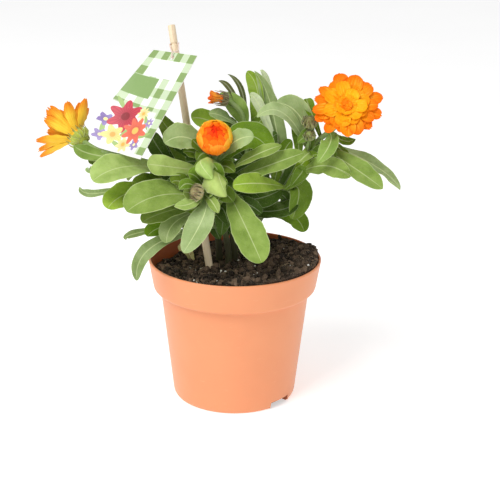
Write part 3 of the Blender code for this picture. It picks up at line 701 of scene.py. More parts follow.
def makeStake():
    form = stakeForm
    shape = startShape()
    foot, top = millimetres(form["foot"]), millimetres(form["top"])
    length = (top - foot).length / mm
    radius, groove = form["radius"], length - form["grooveBelowTop"]
    narrow = form["grooveRadius"]
    profile = [(0.0, length), (radius - 0.55, length), (radius - 0.3, length - 0.08),
               (radius - 0.08, length - 0.3), (radius, length - 0.6), (radius, groove + 1.1),
               (radius - 0.1, groove + 0.85), (narrow, groove + 0.45), (narrow, groove - 0.45),
               (radius - 0.1, groove - 0.85), (radius, groove - 1.1)]
    profile += [(radius, groove - 1.1 - (groove - 1.1 - form["point"]) * step / 12) for step in range(1, 13)]
    profile += [(0.8, 0.0), (0.0, 0.0)]
    place = Matrix.Translation(foot) @ (top - foot).to_track_quat("Z", "Y").to_matrix().to_4x4()
    back = place.inverted()
    vertices = turned(shape, [(r * mm, z * mm) for r, z in profile], form["sides"], place,
                      wobble=lambda angle, height: 1 + 0.012 * math.sin(2 * angle + height * 30))
    for vertex in vertices:
        note(shape, vertex, {"size": back @ vertex.co})
    addPiece("stake_wood", shape, (woodFinish(),), ("stake",), 40.0)


makeStake()

cardForm = {
    "width": 46.0,
    "length": 79.0,
    "thickness": 0.55,
    "top": (-41.2, 14.5, 239.3),
    "across": (0.679, -0.733, 0.038),
    "down": (-0.446, -0.453, -0.772),
    "curl": 15.0,
    "corner": 8.0,
    "holeBelowTop": 4.0,
    "holeRadius": 1.9,
    "holeBlock": 3.4,  # half of the square of faces round the hole
    "square": (13.2, 14.3),  # one green and one pale square, across and down
    "squareStart": (-0.2, -0.6),
    # two plain fields: from and to across, from and to down
    "band": ((6.9, 39.2), (6.8, 20.6)),
    "label": ((-3.0, 23.0), (21.2, 37.2)),
    "tieRadius": 0.45,
    # generic flowers: x and y on the card in mm, radius, petals, turn, petal colour, heart colour
    "flowers": (
        (33.0, 70.5, 4.4, 5, 0.4, (0.36, 0.28, 0.56), (0.92, 0.82, 0.40)),
        (3.6, 60.5, 5.0, 5, 1.3, (0.30, 0.22, 0.50), (0.90, 0.78, 0.30)),
        (6.0, 72.0, 4.6, 5, 2.0, (0.36, 0.28, 0.56), (0.90, 0.80, 0.36)),
        (24.0, 72.5, 6.0, 7, 2.4, (0.88, 0.76, 0.34), (0.75, 0.42, 0.08)),
        (14.0, 53.5, 12.5, 6, 0.2, (0.56, 0.045, 0.075), (0.24, 0.012, 0.02)),
        (27.5, 61.0, 10.5, 8, 0.9, (0.84, 0.17, 0.10), (0.90, 0.50, 0.12)),
        (13.0, 68.5, 7.6, 5, 0.5, (0.90, 0.74, 0.24), (0.72, 0.36, 0.06)),
        (26.5, 48.0, 5.0, 9, 0.1, (0.90, 0.78, 0.34), (0.78, 0.44, 0.08)),
        (36.0, 53.5, 3.8, 7, 0.7, (0.40, 0.31, 0.60), (0.93, 0.84, 0.42)),
    ),
    "sprigs": ((6.0, 45.5, 0.9, 6.5), (21.0, 62.5, -0.5, 7.5), (33.0, 53.5, 0.7, 7.0), (5.0, 67.0, 0.3, 6.0),
               (37.0, 63.0, -1.1, 6.5), (19.0, 74.0, 1.3, 6.0)),  # x, y, lean, length
}


def cardAxes():
    down = Vector(cardForm["down"]).normalized()
    across = Vector(cardForm["across"])
    across = (across - across.dot(down) * down).normalized()
    return across, down, down.cross(across).normalized()


def cardPoint(x, y):  # a place on the card in mm, x from its middle and y from its top edge, in metres
    form = cardForm
    across, down, front = cardAxes()
    v, u = x / (form["width"] / 2), y / form["length"]
    corner = max(0.0, -x - form["width"] / 2 + form["corner"])
    inset = form["corner"] - math.sqrt(max(0.0, form["corner"] ** 2 - corner ** 2))
    reach = (form["length"] - inset) * u
    curl = front * (form["curl"] * mm * ((1 - v) / 2) ** 3 * u)
    return millimetres(form["top"]) + across * (x * mm) + down * (reach * mm) + curl, reach


def cardFinish():
    form = cardForm
    material, wire = startFinish("cardPrint")
    across, down, sideOf = wire.attribute("size").split()  # mm on the card, and 1 on its front
    white, pale, green = (0.86, 0.89, 0.84), (0.56, 0.67, 0.45), (0.24, 0.36, 0.12)
    stripes = [1 - abs(((place - start) / pitch).fraction() - 0.25).rise(0.24, 0.26)
               for place, start, pitch in zip((across, down), form["squareStart"], form["square"])]
    columns, rows = stripes
    printed = wire.mixed(white, pale, columns.most(rows))
    printed = wire.mixed(printed, green, columns * rows)

    def within(low, high, value):
        return value.rise(low - 0.25, low + 0.25) * (1 - value.rise(high - 0.25, high + 0.25))

    for field, colour in (("band", (0.88, 0.89, 0.87)), ("label", (0.23, 0.36, 0.12))):
        inField = within(*form[field][0], across) * within(*form[field][1], down)
        printed = wire.mixed(printed, colour, inField)
    picture = (1 - across.rise(36.5, 38.5)) * down.rise(44.5, 46.5)
    printed = wire.mixed(printed, (0.84, 0.84, 0.81), picture.most(down.rise(76.2, 76.8)))
    for x, y, lean, length in form["sprigs"]:
        alongSprig = (across - x) * math.sin(lean) + (down - y) * math.cos(lean)
        besideSprig = abs((across - x) * math.cos(lean) - (down - y) * math.sin(lean))
        body = 1 - (abs(alongSprig) / length).rise(0.9, 1.0)
        width = (1 - (alongSprig / length) * (alongSprig / length)) * 1.5
        sprig = body * (1 - (besideSprig - width).rise(-0.15, 0.15))
        printed = wire.mixed(printed, (0.34, 0.48, 0.16), sprig)
    for x, y, radius, petals, turn, colour, heart in form["flowers"]:
        offX, offY = across - x, down - y
        away = wire.maths("SQRT", offX * offX + offY * offY)
        angle = wire.maths("ARCTAN2", offY, offX)
        edge = (0.80 + 0.20 * (angle * petals + turn).sine()) * radius
        inPetals = 1 - (away - edge).rise(-0.25, 0.25)
        streak = (angle * petals * 4 + turn * 3).sine().rise(-0.4, 1.0)
        darker = tuple(value * 0.62 for value in colour)
        tone = wire.mixed(colour, darker,
                          (streak * 0.45 + (1 - (away / radius).rise(0.1, 0.8)) * 0.55).least(1.0))
        printed = wire.mixed(printed, tone, inPetals)
        printed = wire.mixed(printed, heart, 1 - (away / radius).rise(0.22, 0.27))
    printed = wire.mixed((0.90, 0.91, 0.87), printed, sideOf.rise(0.4, 0.6))
    mottle = wire.grain(wire.here(), 500.0, 3.0)
    printed = wire.mixed(printed, (0.97, 0.97, 0.95), mottle.rise(0.62, 0.8) * 0.12)
    endFinish(wire, {"Base Color": printed, "Roughness": 0.34 + mottle * 0.12, "Specular IOR Level": 0.5,
                     "Normal": wire.bump(wire.grain(wire.here(), 120.0, 2.0), 0.0004, 0.35)})
    return material


def makeCard():
    form = cardForm
    shape = startShape()
    half = form["width"] / 2
    block, center = form["holeBlock"], form["holeBelowTop"]
    xLines = [-half + (half - block) * i / 12 for i in range(12)] + [-block, -block / 2, 0.0, block / 2]
    xLines += [block + (half - block) * i / 12 for i in range(13)]
    yLines = [0.0] + [center - block + block * i / 2 for i in range(4)]
    yLines += [center + block + (form["length"] - center - block) * i / 40 for i in range(41)]
    front = cardAxes()[2]
    thick = form["thickness"] * mm

    def corner(x, y, sideOf):
        point, reach = cardPoint(x, y)
        vertex = shape.verts.new(point + front * thick * (0.5 if sideOf > 0 else -0.5))
        note(shape, vertex, {"size": (x + half, reach, sideOf)})
        return vertex

    sheets = []
    for sideOf in (1.0, -1.0):
        inHole = lambda x, y: abs(x) < block - 0.01 and abs(y - center) < block - 0.01
        grid = {(i, j): corner(x, y, sideOf) for i, x in enumerate(xLines) for j, y in enumerate(yLines)
                if not inHole(x, y)}
        loops = {}
        for (i, j), vertex in grid.items():
            x, y = xLines[i], yLines[j]
            if abs(x) < block + 0.01 and abs(y - center) < block + 0.01:
                turn = math.atan2(y - center, x)
                x, y = form["holeRadius"] * math.cos(turn), center + form["holeRadius"] * math.sin(turn)
                loops[round(turn, 4)] = (vertex, corner(x, y, sideOf))
        for i in range(len(xLines) - 1):
            for j in range(len(yLines) - 1):
                middleX, middleY = (xLines[i] + xLines[i + 1]) / 2, (yLines[j] + yLines[j + 1]) / 2
                if not (abs(middleX) < block and abs(middleY - center) < block):
                    shape.faces.new((grid[i, j], grid[i + 1, j], grid[i + 1, j + 1], grid[i, j + 1]))
        order = [loops[turn] for turn in sorted(loops)]
        for first, second in zip(order, order[1:] + order[:1]):
            shape.faces.new((first[0], second[0], second[1], first[1]))
        lastX, lastY = len(xLines) - 1, len(yLines) - 1
        rim = [grid[i, 0] for i in range(lastX + 1)] + [grid[lastX, j] for j in range(1, lastY + 1)]
        rim += [grid[i, lastY] for i in range(lastX - 1, -1, -1)]
        rim += [grid[0, j] for j in range(lastY - 1, 0, -1)]
        sheets.append((rim, [pair[1] for pair in order]))
    for upperRim, lowerRim in zip(*sheets):
        joinRings(shape, (upperRim, lowerRim), len(upperRim))
    addPiece("card_printed", shape, (cardFinish(),), ("card",), 45.0)


makeCard()


def elasticFinish():
    material, wire = startFinish("tieElastic")
    ribs = (wire.attribute("blade").split()[0] * 900.0).sine()
    mottle = wire.grain(wire.here(), 1500.0, 2.0)
    colour = wire.mixed((0.84, 0.70, 0.62), (0.66, 0.48, 0.40), mottle.rise(0.35, 0.7))
    endFinish(wire, {"Base Color": colour, "Roughness": 0.5 + mottle * 0.15,
                     "Normal": wire.bump(ribs, 0.00005, 0.5)})
    return material


def makeTie():
    down, front = cardAxes()[1:]
    way = stakeWay()
    radius = cardForm["tieRadius"] * mm
    gap = 0.3 * mm
    groove = millimetres(stakeForm["top"]) - way * stakeForm["grooveBelowTop"] * mm
    cardTop = millimetres(cardForm["top"])
    hole = cardTop + down * cardForm["holeBelowTop"] * mm
    toCard = hole - groove
    toCard = (toCard - toCard.dot(way) * way).normalized()
    beside = way.cross(toCard)
    reach = stakeForm["grooveRadius"] * mm + radius + 2 * gap
    overEdge = cardTop - down * (radius + 1.7 * mm)
    proud = radius + 0.35 * mm + 2 * gap
    loop = [groove - toCard * reach, groove - toCard * reach * 0.7 + beside * reach * 0.8,
            groove + beside * reach + toCard * 0.6 * mm, overEdge + beside * 0.8 * mm - front * 0.4 * mm,
            (overEdge + hole) / 2 + front * (proud + 0.6 * mm), hole + front * 0.5 * mm,
            hole - front * (proud + 0.3 * mm), groove - beside * reach + toCard * 0.9 * mm - way * 0.3 * mm,
            groove - toCard * reach * 0.7 - beside * reach * 0.8]
    points = []
    for index in range(90):
        place = index / 90 * len(loop)
        near = [loop[(int(place) + shift) % len(loop)] for shift in (-1, 0, 1, 2)]
        points.append(curvePoint(*near, place - int(place)))
    shape = startShape()
    sweep(shape, points, (radius, radius), 12, {}, closed=True)
    addPiece("card_loop", shape, (elasticFinish(),), ("card_tie",), 60.0)


makeTie()


# Leaves and shoots

leafForm = {
    "thickness": 0.5,
    "rows": 26,
    "columns": (-1.0, -0.94, -0.8, -0.6, -0.4, -0.2, -0.07, 0.0, 0.07, 0.2, 0.4, 0.6, 0.8, 0.94, 1.0),
    "neckWidth": 2.4,
    "ridge": (1.1, 0.8),  # the midrib's height and half width
    "veinGap": 5.2,
    "veinSlant": 1.15,
    "tints": {
        "pale": (0.405, 0.550, 0.155),
        "silver": (0.370, 0.485, 0.215),
        "frost": (0.560, 0.620, 0.390),
        "grey": (0.310, 0.410, 0.165),
        "mid": (0.240, 0.350, 0.068),
        "fresh": (0.285, 0.430, 0.040),
        "vivid": (0.150, 0.260, 0.006),
        "moss": (0.150, 0.245, 0.016),
        # dusk and deep are darker copies of the leaf green: painted shade for leaves inside the plant
        "dusk": (0.085, 0.095, 0.024),
        "deep": (0.056, 0.115, 0.006),
    },
}
hairForm = {
    "leaf": {"gap": 1.1, "length": (0.35, 0.8), "thick": 0.05},
    "stem": {"length": (0.5, 1.1), "thick": 0.055, "above": 142.0},
    "bract": {"length": (0.4, 0.9), "thick": 0.05},
    "look": {"tint": (0.55, 0.63, 0.42), "size": (1.0, 1.0, 0.0), "blade": (0.5, 0.5, 1.0)},
}

upperFace = (0.0, -0.55, 0.85)
frontFace = (0.0, -0.85, 0.5)

# Each shoot: the stem's route and radii in mm, then its leaves. A leaf has its place along the stem (0 to 1),
# a point its midrib passes, its tip, its width, the way its upper face looks, its tint and,
# for some, words of its shape.
shoots = {
    "shoot_left": {
        "route": ((-11, 5, 84), (-12, 5, 112), (-19, 7, 134), (-30, 7, 152), (-46, 0, 163),
                  (-62, -6, 170), (-79, -8, 174), (-92, -6, 177)),
        "radii": (2.4, 1.5),
        "leaves": (
            (0.60, (-72, -31, 172), (-91, -44, 166), 24, upperFace, "pale"),
            (0.54, (-70, -25, 153), (-83, -36, 145), 19, upperFace, "fresh"),
            (0.62, (-90, -24, 152), (-103, -22, 156), 6, upperFace, "grey", {"pointed": 1.0}),
            (0.80, (-92, -4, 168), (-99, -4, 170), 6, upperFace, "mid", {"pointed": 1.0}),
            (0.74, (-92, -14, 165), (-98, -14, 167), 6, upperFace, "grey", {"pointed": 1.0}),
            (0.84, (-97, -9, 175), (-108, -9, 181), 10, (0.0, -0.85, 0.5), "mid",
             {"pointed": 0.9, "cup": 0.3}),
            (0.60, (-52, -2, 178), (-58, 0, 188), 13, (-0.3, -0.9, 0.2), "deep"),
            (0.52, (-41, 0, 176), (-48, 0, 170), 12, (-0.1, -0.9, 0.3), "deep"),
            (0.48, (-38, 2, 178), (-57, 6, 204), 15, (0.35, -0.9, 0.2), "moss",
             {"widest": 0.5, "pointed": 0.6}),
            (0.46, (-45, -10, 163), (-56, -12, 161), 14, frontFace, "deep"),
            (0.40, (-38, -24, 156), (-46, -26, 158), 13, frontFace, "deep"),
            (0.56, (-57, -24, 161), (-67, -27, 158), 11, frontFace, "moss"),
        ),
    },
    "shoot_low": {
        "route": ((-4, -9, 84), (-5, -10, 112), (-10, -18, 134), (-17, -30, 150), (-21, -41, 158),
                  (-22, -47, 161)),
        "radii": (2.2, 1.6),
        "leaves": (
            (0.78, (-48, -45, 157), (-68, -58, 150), 27, upperFace, "mid"),
            (0.74, (-45, -42, 145), (-59, -52, 141), 15, upperFace, "mid"),
            (0.66, (-38, -40, 138), (-44, -48, 126), 14, upperFace, "grey"),
            (0.86, (-20, -55, 145), (-32, -64, 125), 17, (-0.2, -0.8, 0.55), "silver", {"taper": 1.9}),
            (0.60, (-46, -30, 132), (-57, -38, 127), 13, upperFace, "vivid"),
            (0.52, (-63, -24, 125), (-72, -30, 122), 6, upperFace, "grey", {"pointed": 0.8, "widest": 0.6}),
            (0.48, (-54, -46, 122), (-62, -65, 106), 10, (0.3, -0.6, 0.7), "grey", {"widest": 0.6}),
            (0.92, (-28, -53, 154), (-38, -58, 154), 9, upperFace, "pale", {"pointed": 0.6}),
            (0.80, (-34, -34, 163), (-41, -38, 164), 11, frontFace, "moss"),
            (0.70, (-25, -32, 146), (-38, -38, 153), 12, frontFace, "moss"),
            (0.50, (-20, -16, 136), (-17, -20, 127), 10, frontFace, "deep"),
            (0.44, (-26, -18, 131), (-32, -20, 120), 11, frontFace, "deep"),
            (0.66, (-13, -24, 151), (-14, -28, 143), 9, frontFace, "deep"),
            (0.94, (-30, -48, 166), (-35, -52, 163), 7, frontFace, "moss", {"pointed": 0.9}),
            (0.90, (-14, -52, 155), (-10, -56, 149), 7, frontFace, "mid", {"pointed": 0.7}),
            (0.72, (-23, -38, 166), (-30, -42, 171), 13, frontFace, "moss", {"pointed": 0.3, "wave": 1.2}),
            (0.82, (-16, -44, 161), (-12, -50, 165), 12, frontFace, "mid", {"pointed": 0.3, "wave": 1.2}),
            (0.76, (-25, -42, 157), (-33, -46, 160), 12, frontFace, "mid", {"pointed": 0.4}),
            (0.62, (-8, -36, 156), (-1, -40, 152), 12, frontFace, "moss"),
            (0.56, (-8, -26, 143), (-4, -30, 134), 12, frontFace, "deep"),
            (0.52, (-2, -22, 147), (5, -26, 138), 12, frontFace, "deep"),
            (0.40, (-14, -14, 128), (-10, -18, 119), 9, frontFace, "deep"),
            (0.36, (0, -12, 130), (6, -16, 121), 10, frontFace, "deep"),
            (0.74, (-14, -38, 168), (-16, -41, 177), 15, frontFace, "moss"),
            (0.84, (-11, -42, 163), (-5, -44, 168), 12, frontFace, "moss"),
            (0.44, (-7, -20, 137), (-9, -24, 124), 12, (-0.2, -0.85, 0.4), "deep"),
            (0.46, (-2, -18, 140), (-1, -22, 128), 12, (0.2, -0.85, 0.4), "deep"),
        ),
    },
    "shoot_center": {
        "route": ((0, 0, 84), (-1, 0, 112), (-5, -4, 140), (-10, -12, 162), (-13, -20, 176), (-14, -23, 181)),
        "radii": (2.5, 1.9),
        "leaves": (
            (0.72, (4, -46, 144), (18, -62, 118), 22, (0.1, -0.7, 0.7), "mid",
             {"neck": 0.26, "widest": 0.78, "taper": 3.0, "wave": 0.9, "teeth": 0.05}),
            (0.80, (-42, -33, 173), (-56, -42, 177), 14, frontFace, "pale", {"widest": 0.78}),
            (0.88, (-22, -42, 179), (-14, -51, 170), 23, (-0.5, -0.5, 0.7), "pale",
             {"wave": 1.2, "cup": 0.1, "ruffle": 1.0, "roll": 1.0, "widest": 0.5, "neck": 0.6}),
            (0.84, (-10, -47, 170), (-5, -52, 159), 23, (0.5, -0.5, 0.7), "pale",
             {"wave": -1.4, "cup": 0.1, "ruffle": 1.2, "roll": 1.0, "widest": 0.5, "neck": 0.6}),
            (0.92, (-32, -22, 190), (-46, -26, 187), 18, (0.1, -0.75, 0.6), "grey",
             {"wave": 1.4, "teeth": 0.06}),
            (0.90, (1, -33, 191), (12, -36, 194), 13, frontFace, "grey",
             {"wave": 1.3, "teeth": 0.07, "pointed": 0.3}),
            (0.78, (12, -34, 181), (30, -32, 188), 10, (0.3, -0.6, 0.8), "mid",
             {"wave": 0.8, "pointed": 0.3}),
            (0.72, (23, -33, 175), (45, -31, 183), 15, (-0.2, -0.7, 0.7), "mid", {"pointed": 0.3}),
            (0.60, (15, -12, 146), (31, -6, 151), 15, frontFace, "deep"),
            (0.52, (28, -10, 137), (42, -6, 143), 12, (0.2, -0.7, 0.7), "deep", {"widest": 0.6}),
            (0.48, (13, -14, 137), (16, -16, 141), 7, (-0.3, -0.8, 0.4), "deep", {"cup": 0.5}),
            (0.84, (8, -12, 189), (24, -14, 178), 22, (0.0, -0.72, 0.7), "vivid", {"widest": 0.55}),
            (0.66, (3, -6, 164), (18, -6, 171), 14, frontFace, "deep"),
            (0.62, (5, -9, 155), (22, -8, 159), 14, frontFace, "deep"),
            (0.56, (7, -16, 144), (18, -20, 138), 10, frontFace, "deep"),
            (0.74, (-2, -20, 162), (1, -24, 154), 10, frontFace, "deep"),
            (0.70, (-9, -16, 167), (-2, -18, 174), 10, frontFace, "moss"),
            (0.88, (-27, -22, 180), (-34, -25, 181), 8, frontFace, "moss", {"pointed": 0.9}),
            (0.92, (-24, -24, 185), (-28, -26, 190), 7, frontFace, "moss", {"pointed": 0.9}),
            (0.96, (-21, -24, 180), (-25, -28, 176), 8, frontFace, "moss", {"pointed": 0.9}),
            (0.80, (-24, -16, 172), (-33, -18, 172), 12, frontFace, "deep", {"pointed": 0.4}),
            (0.86, (-22, -14, 180), (-29, -16, 188), 10, frontFace, "deep", {"pointed": 0.4}),
            (0.90, (-20, -30, 174), (-27, -34, 171), 8, frontFace, "vivid", {"pointed": 0.8}),
            (0.82, (-6, -26, 172), (0, -30, 169), 9, frontFace, "moss", {"pointed": 0.6}),
            (0.40, (-4, -8, 128), (3, -14, 120), 9, frontFace, "deep"),
        ),
    },
    "shoot_back": {
        "route": ((5, 11, 84), (5, 11, 112), (7, 12, 150), (7, 10, 180), (4, 5, 200), (-3, 1, 209)),
        "radii": (2.4, 1.5),
        "leaves": (
            (0.80, (0, 4, 206), (-12, 6, 213), 13, (-0.2, -0.85, 0.5), "mid",
             {"widest": 0.5, "pointed": 0.3}),
            (0.84, (3, 13, 216), (-6, 17, 225), 4, frontFace, "dusk", {"pointed": 0.8, "widest": 0.5}),
            (0.92, (-5, 6, 218), (-12, 8, 222), 4, frontFace, "dusk", {"pointed": 0.8, "widest": 0.5}),
            (0.66, (15, 15, 209), (7, 17, 227), 12, (-0.5, -0.85, 0.1), "fresh", {"cup": 0.35, "neck": 0.2}),
            (0.74, (-18, 6, 195), (-30, 4, 197), 14, (0.2, -0.8, 0.6), "fresh"),
            (0.80, (-8, 0, 199), (-18, -2, 202), 10, upperFace, "grey", {"wave": 1.0}),
            (0.78, (-6, 6, 193), (-14, 8, 190), 12, frontFace, "moss"),
            (0.66, (1, 6, 175), (-5, 4, 187), 13, frontFace, "deep"),
            (0.60, (14, 10, 169), (20, 12, 180), 13, frontFace, "deep"),
            (0.56, (18, 0, 156), (5, 0, 163), 14, frontFace, "deep"),
            (0.72, (13, 8, 190), (19, 8, 198), 10, frontFace, "moss"),
        ),
    },
    "shoot_right": {
        "route": ((10, 1, 84), (11, 0, 112), (20, -1, 134), (33, -1, 149), (45, -2, 167),
                  (54, -3, 183), (64, -4, 192), (69, -4, 197)),
        "radii": (2.4, 1.7),
        "leaves": (
            (0.56, (14, -42, 165), (-1, -47, 165), 14, frontFace, "fresh", {"widest": 0.6}),
            (0.82, (40, 2, 203), (27, 4, 208), 18, frontFace, "silver",
             {"widest": 0.55, "pointed": 0.3, "wave": 1.0}),
            (0.78, (30, -10, 205), (14, -17, 203), 12, (0.0, -0.6, 0.8), "silver",
             {"widest": 0.55, "pointed": 0.5}),
            (0.54, (24, 10, 204), (12, 14, 228), 14, (-0.3, -0.95, 0.1), "grey",
             {"cup": 0.3, "widest": 0.36, "pointed": 1.0}),
            (0.60, (23, 17, 213), (16, 21, 227), 5, (0.6, -0.6, 0.0), "frost", {"pointed": 0.8}),
            (0.58, (17, 6, 203), (9, 8, 212), 7, (0.2, -0.9, 0.3), "frost", {"wave": 1.0, "pointed": 0.5}),
            (0.68, (42, 4, 188), (41, 6, 199), 9, frontFace, "moss"),
            (0.93, (62, -20, 186), (54, -26, 175), 12, (-0.3, -0.9, 0.3), "mid",
             {"widest": 0.55, "pointed": 0.4}),
            (0.62, (60, -18, 171), (76, -24, 165), 13, frontFace, "mid",
             {"twist": 80.0, "wave": 1.8, "teeth": 0.06, "ruffle": 1.2}),
            (0.84, (81, -22, 169), (97, -30, 159), 17, (0.2, -0.7, 0.7), "mid",
             {"pointed": 0.5, "widest": 0.6, "wave": 1.0, "ruffle": 0.6}),
            (0.86, (97, 0, 165), (112, -4, 151), 11, upperFace, "silver",
             {"pointed": 0.8, "widest": 0.5, "wave": 1.2, "ruffle": 0.6}),
            (0.54, (45, -10, 165), (37, -14, 155), 10, frontFace, "moss", {"pointed": 0.5}),
            (0.58, (47, -8, 172), (55, -12, 177), 8, frontFace, "vivid", {"pointed": 0.6}),
            (0.50, (42, -6, 159), (33, -8, 151), 9, frontFace, "moss", {"pointed": 0.5}),
            (0.54, (43, -6, 150), (39, -9, 131), 17, (0.35, -0.9, 0.2), "moss",
             {"widest": 0.62, "neck": 0.12, "cup": 0.5}),
            (0.36, (39, 5, 129), (48, 3, 118), 15, (0.2, -0.7, 0.6), "vivid"),
            (0.94, (73, -6, 185), (80, -8, 187), 6, frontFace, "moss", {"pointed": 0.9}),
            (0.92, (71, -8, 179), (76, -12, 178), 5, frontFace, "moss", {"pointed": 0.9}),
            (0.88, (49, 4, 206), (47, 6, 211), 8, frontFace, "vivid", {"pointed": 0.7}),
            (0.76, (49, -8, 189), (41, -10, 184), 9, frontFace, "moss", {"pointed": 0.5}),
            (0.70, (49, -12, 178), (42, -18, 173), 8, frontFace, "mid", {"pointed": 0.5}),
            (0.66, (58, -12, 180), (66, -18, 176), 9, frontFace, "moss", {"pointed": 0.4}),
            (0.46, (37, -2, 160), (43, -4, 173), 10, frontFace, "deep"),
            (0.44, (31, 2, 171), (38, 2, 183), 10, frontFace, "vivid"),
            (0.40, (22, 2, 176), (28, 4, 187), 9, frontFace, "deep"),
            (0.42, (30, 3, 165), (18, 4, 176), 13, frontFace, "deep"),
            (0.38, (35, -2, 141), (28, -6, 149), 9, frontFace, "deep"),
            (0.34, (22, -6, 146), (12, -10, 152), 12, frontFace, "deep"),
        ),
    },
}

stemForm = {
    "sides": 15,
    "ribs": 0.05,
    "hairGap": 0.16,
    "neckHairGap": 0.14,
    "twigRadii": (1.1, 1.0),
    "look": {"tint": (0.30, 0.42, 0.14), "size": (5.0, 2.0, 0.5)},
}

# Leaves of the far side follow a rule: shoot, seed, count, lowest and highest place on the stem,
# first and last compass angle in degrees, rise at the tip in mm. Lengths, widths and arch are in mm.
farForm = {"length": (42, 54), "width": (14, 18), "arch": 9}
farLeaves = (
    ("shoot_left", 3, 5, (0.34, 0.62), (112, 165), -16),
    ("shoot_back", 5, 7, (0.30, 0.66), (88, 145), -8),
    ("shoot_right", 8, 4, (0.30, 0.60), (70, 98), -8),
)


def leafFinish():
    material, wire = startFinish("leafGreen")
    place = wire.here()
    u, v, sideOf = wire.attribute("blade").split()
    length, half, seed = wire.attribute("size").split()  # in mm
    tint = wire.attribute("tint")
    upper = sideOf.rise(-0.2, 0.2)
    fromRib = abs(v) * half  # mm from the midrib
    wobble = wire.grain(place, 260.0, 2.0) - 0.5
    rib = 1 - (fromRib + u * 0.10).rise(0.26, 0.54)
    phase = (u * length - fromRib * leafForm["veinSlant"] + wobble * 2.2) / leafForm["veinGap"] + seed * 9.0
    side = 1 - abs(phase.fraction() - 0.5).rise(0.0, 0.06)
    side = side * (1 - abs(v).rise(0.62, 0.88)) * u.rise(0.05, 0.25) * (1 - u.rise(0.78, 0.94))
    net = 1 - abs(wire.grain(place, 620.0, 2.0) - 0.5).rise(0.0, 0.035)
    margin = abs(v).rise(0.945, 0.985)
    cloud = wire.grain(place, 85.0, 4.0, 0.6)
    fleck = wire.grain(place, 1500.0, 2.0)
    darker = wire.mixed(tint, (0.42, 0.52, 0.22), 1.0, "MULTIPLY")
    colour = wire.mixed(tint, darker, cloud.rise(0.36, 0.70) * 0.55)
    paler = wire.mixed(tint, (0.54, 0.60, 0.30), 0.5)
    colour = wire.mixed(colour, paler, (1 - cloud.rise(0.26, 0.44)) * 0.30)
    colour = wire.mixed(colour, (0.46, 0.54, 0.24), fleck.rise(0.54, 0.70) * 0.13)
    under = wire.mixed(colour, (0.40, 0.48, 0.17), 0.38)
    colour = wire.mixed(under, colour, upper)
    line = wire.mixed(wire.mixed(tint, (0.92, 0.92, 0.92), 0.16), (0.62, 0.70, 0.34),
                      (tint.split()[1] * 1.8).least(0.8))
    lighter = wire.mixed(colour, line, 0.6)
    colour = wire.mixed(colour, lighter, side * 0.17 + net * 0.04)
    colour = wire.mixed(colour, line, rib * (0.9 - u * 0.30))
    colour = wire.mixed(colour, line, margin * 0.68)
    relief = wire.grain(place, 330.0, 2.0) * 0.6 - side * 0.35 - net * 0.12 + fleck * 0.10
    endFinish(wire, {"Base Color": colour, "Roughness": 0.50 + fleck * 0.16 + cloud * 0.06,
                     "Normal": wire.bump(relief, 0.0007, 0.6), "Specular IOR Level": 0.20,
                     **glow(0.12, 0.0006, (0.7, 1.0, 0.3)), **sheen(0.03, 0.45, (0.86, 0.95, 0.70))})
    return material


def stemFinish():
    material, wire = startFinish("stemGreen")
    place = wire.here()
    tint = wire.attribute("tint")
    height = place.split()[2]
    streak = wire.grain(place.stretched((1.0, 1.0, 0.12)), 900.0, 3.0)
    fleck = wire.grain(place, 1300.0, 2.0)
    cloud = wire.grain(place, 120.0, 3.0)
    colour = wire.mixed(tint, wire.mixed(tint, (0.34, 0.40, 0.20), 1.0, "MULTIPLY"),
                        cloud.rise(0.4, 0.75) * 0.45)
    colour = wire.mixed(colour, (0.50, 0.60, 0.34), streak.rise(0.5, 0.75) * 0.3)
    colour = wire.mixed(colour, (0.030, 0.021, 0.009), (1 - height.rise(0.112, 0.155)) * 0.93)  # corky brown foot, and near black as painted shade under the leaves
    endFinish(wire, {"Base Color": colour, "Roughness": 0.52 + fleck * 0.2, "Specular IOR Level": 0.35,
                     "Normal": wire.bump(streak + fleck * 0.5, 0.00025, 0.6),
                     **glow(0.2, 0.0015, (0.55, 1.0, 0.2))})
    return material


leafGreen, stemGreen = leafFinish(), stemFinish()


def leafOutline(u, neck, pointed, widest=0.66, taper=1.5):
    if u < widest:
        return neck + (1 - neck) * math.sin(math.pi / 2 * u / widest) ** taper
    part = (u - widest) / (1 - widest)
    return max(0.004, 1 - part ** 2) ** (0.5 + 0.5 * pointed)


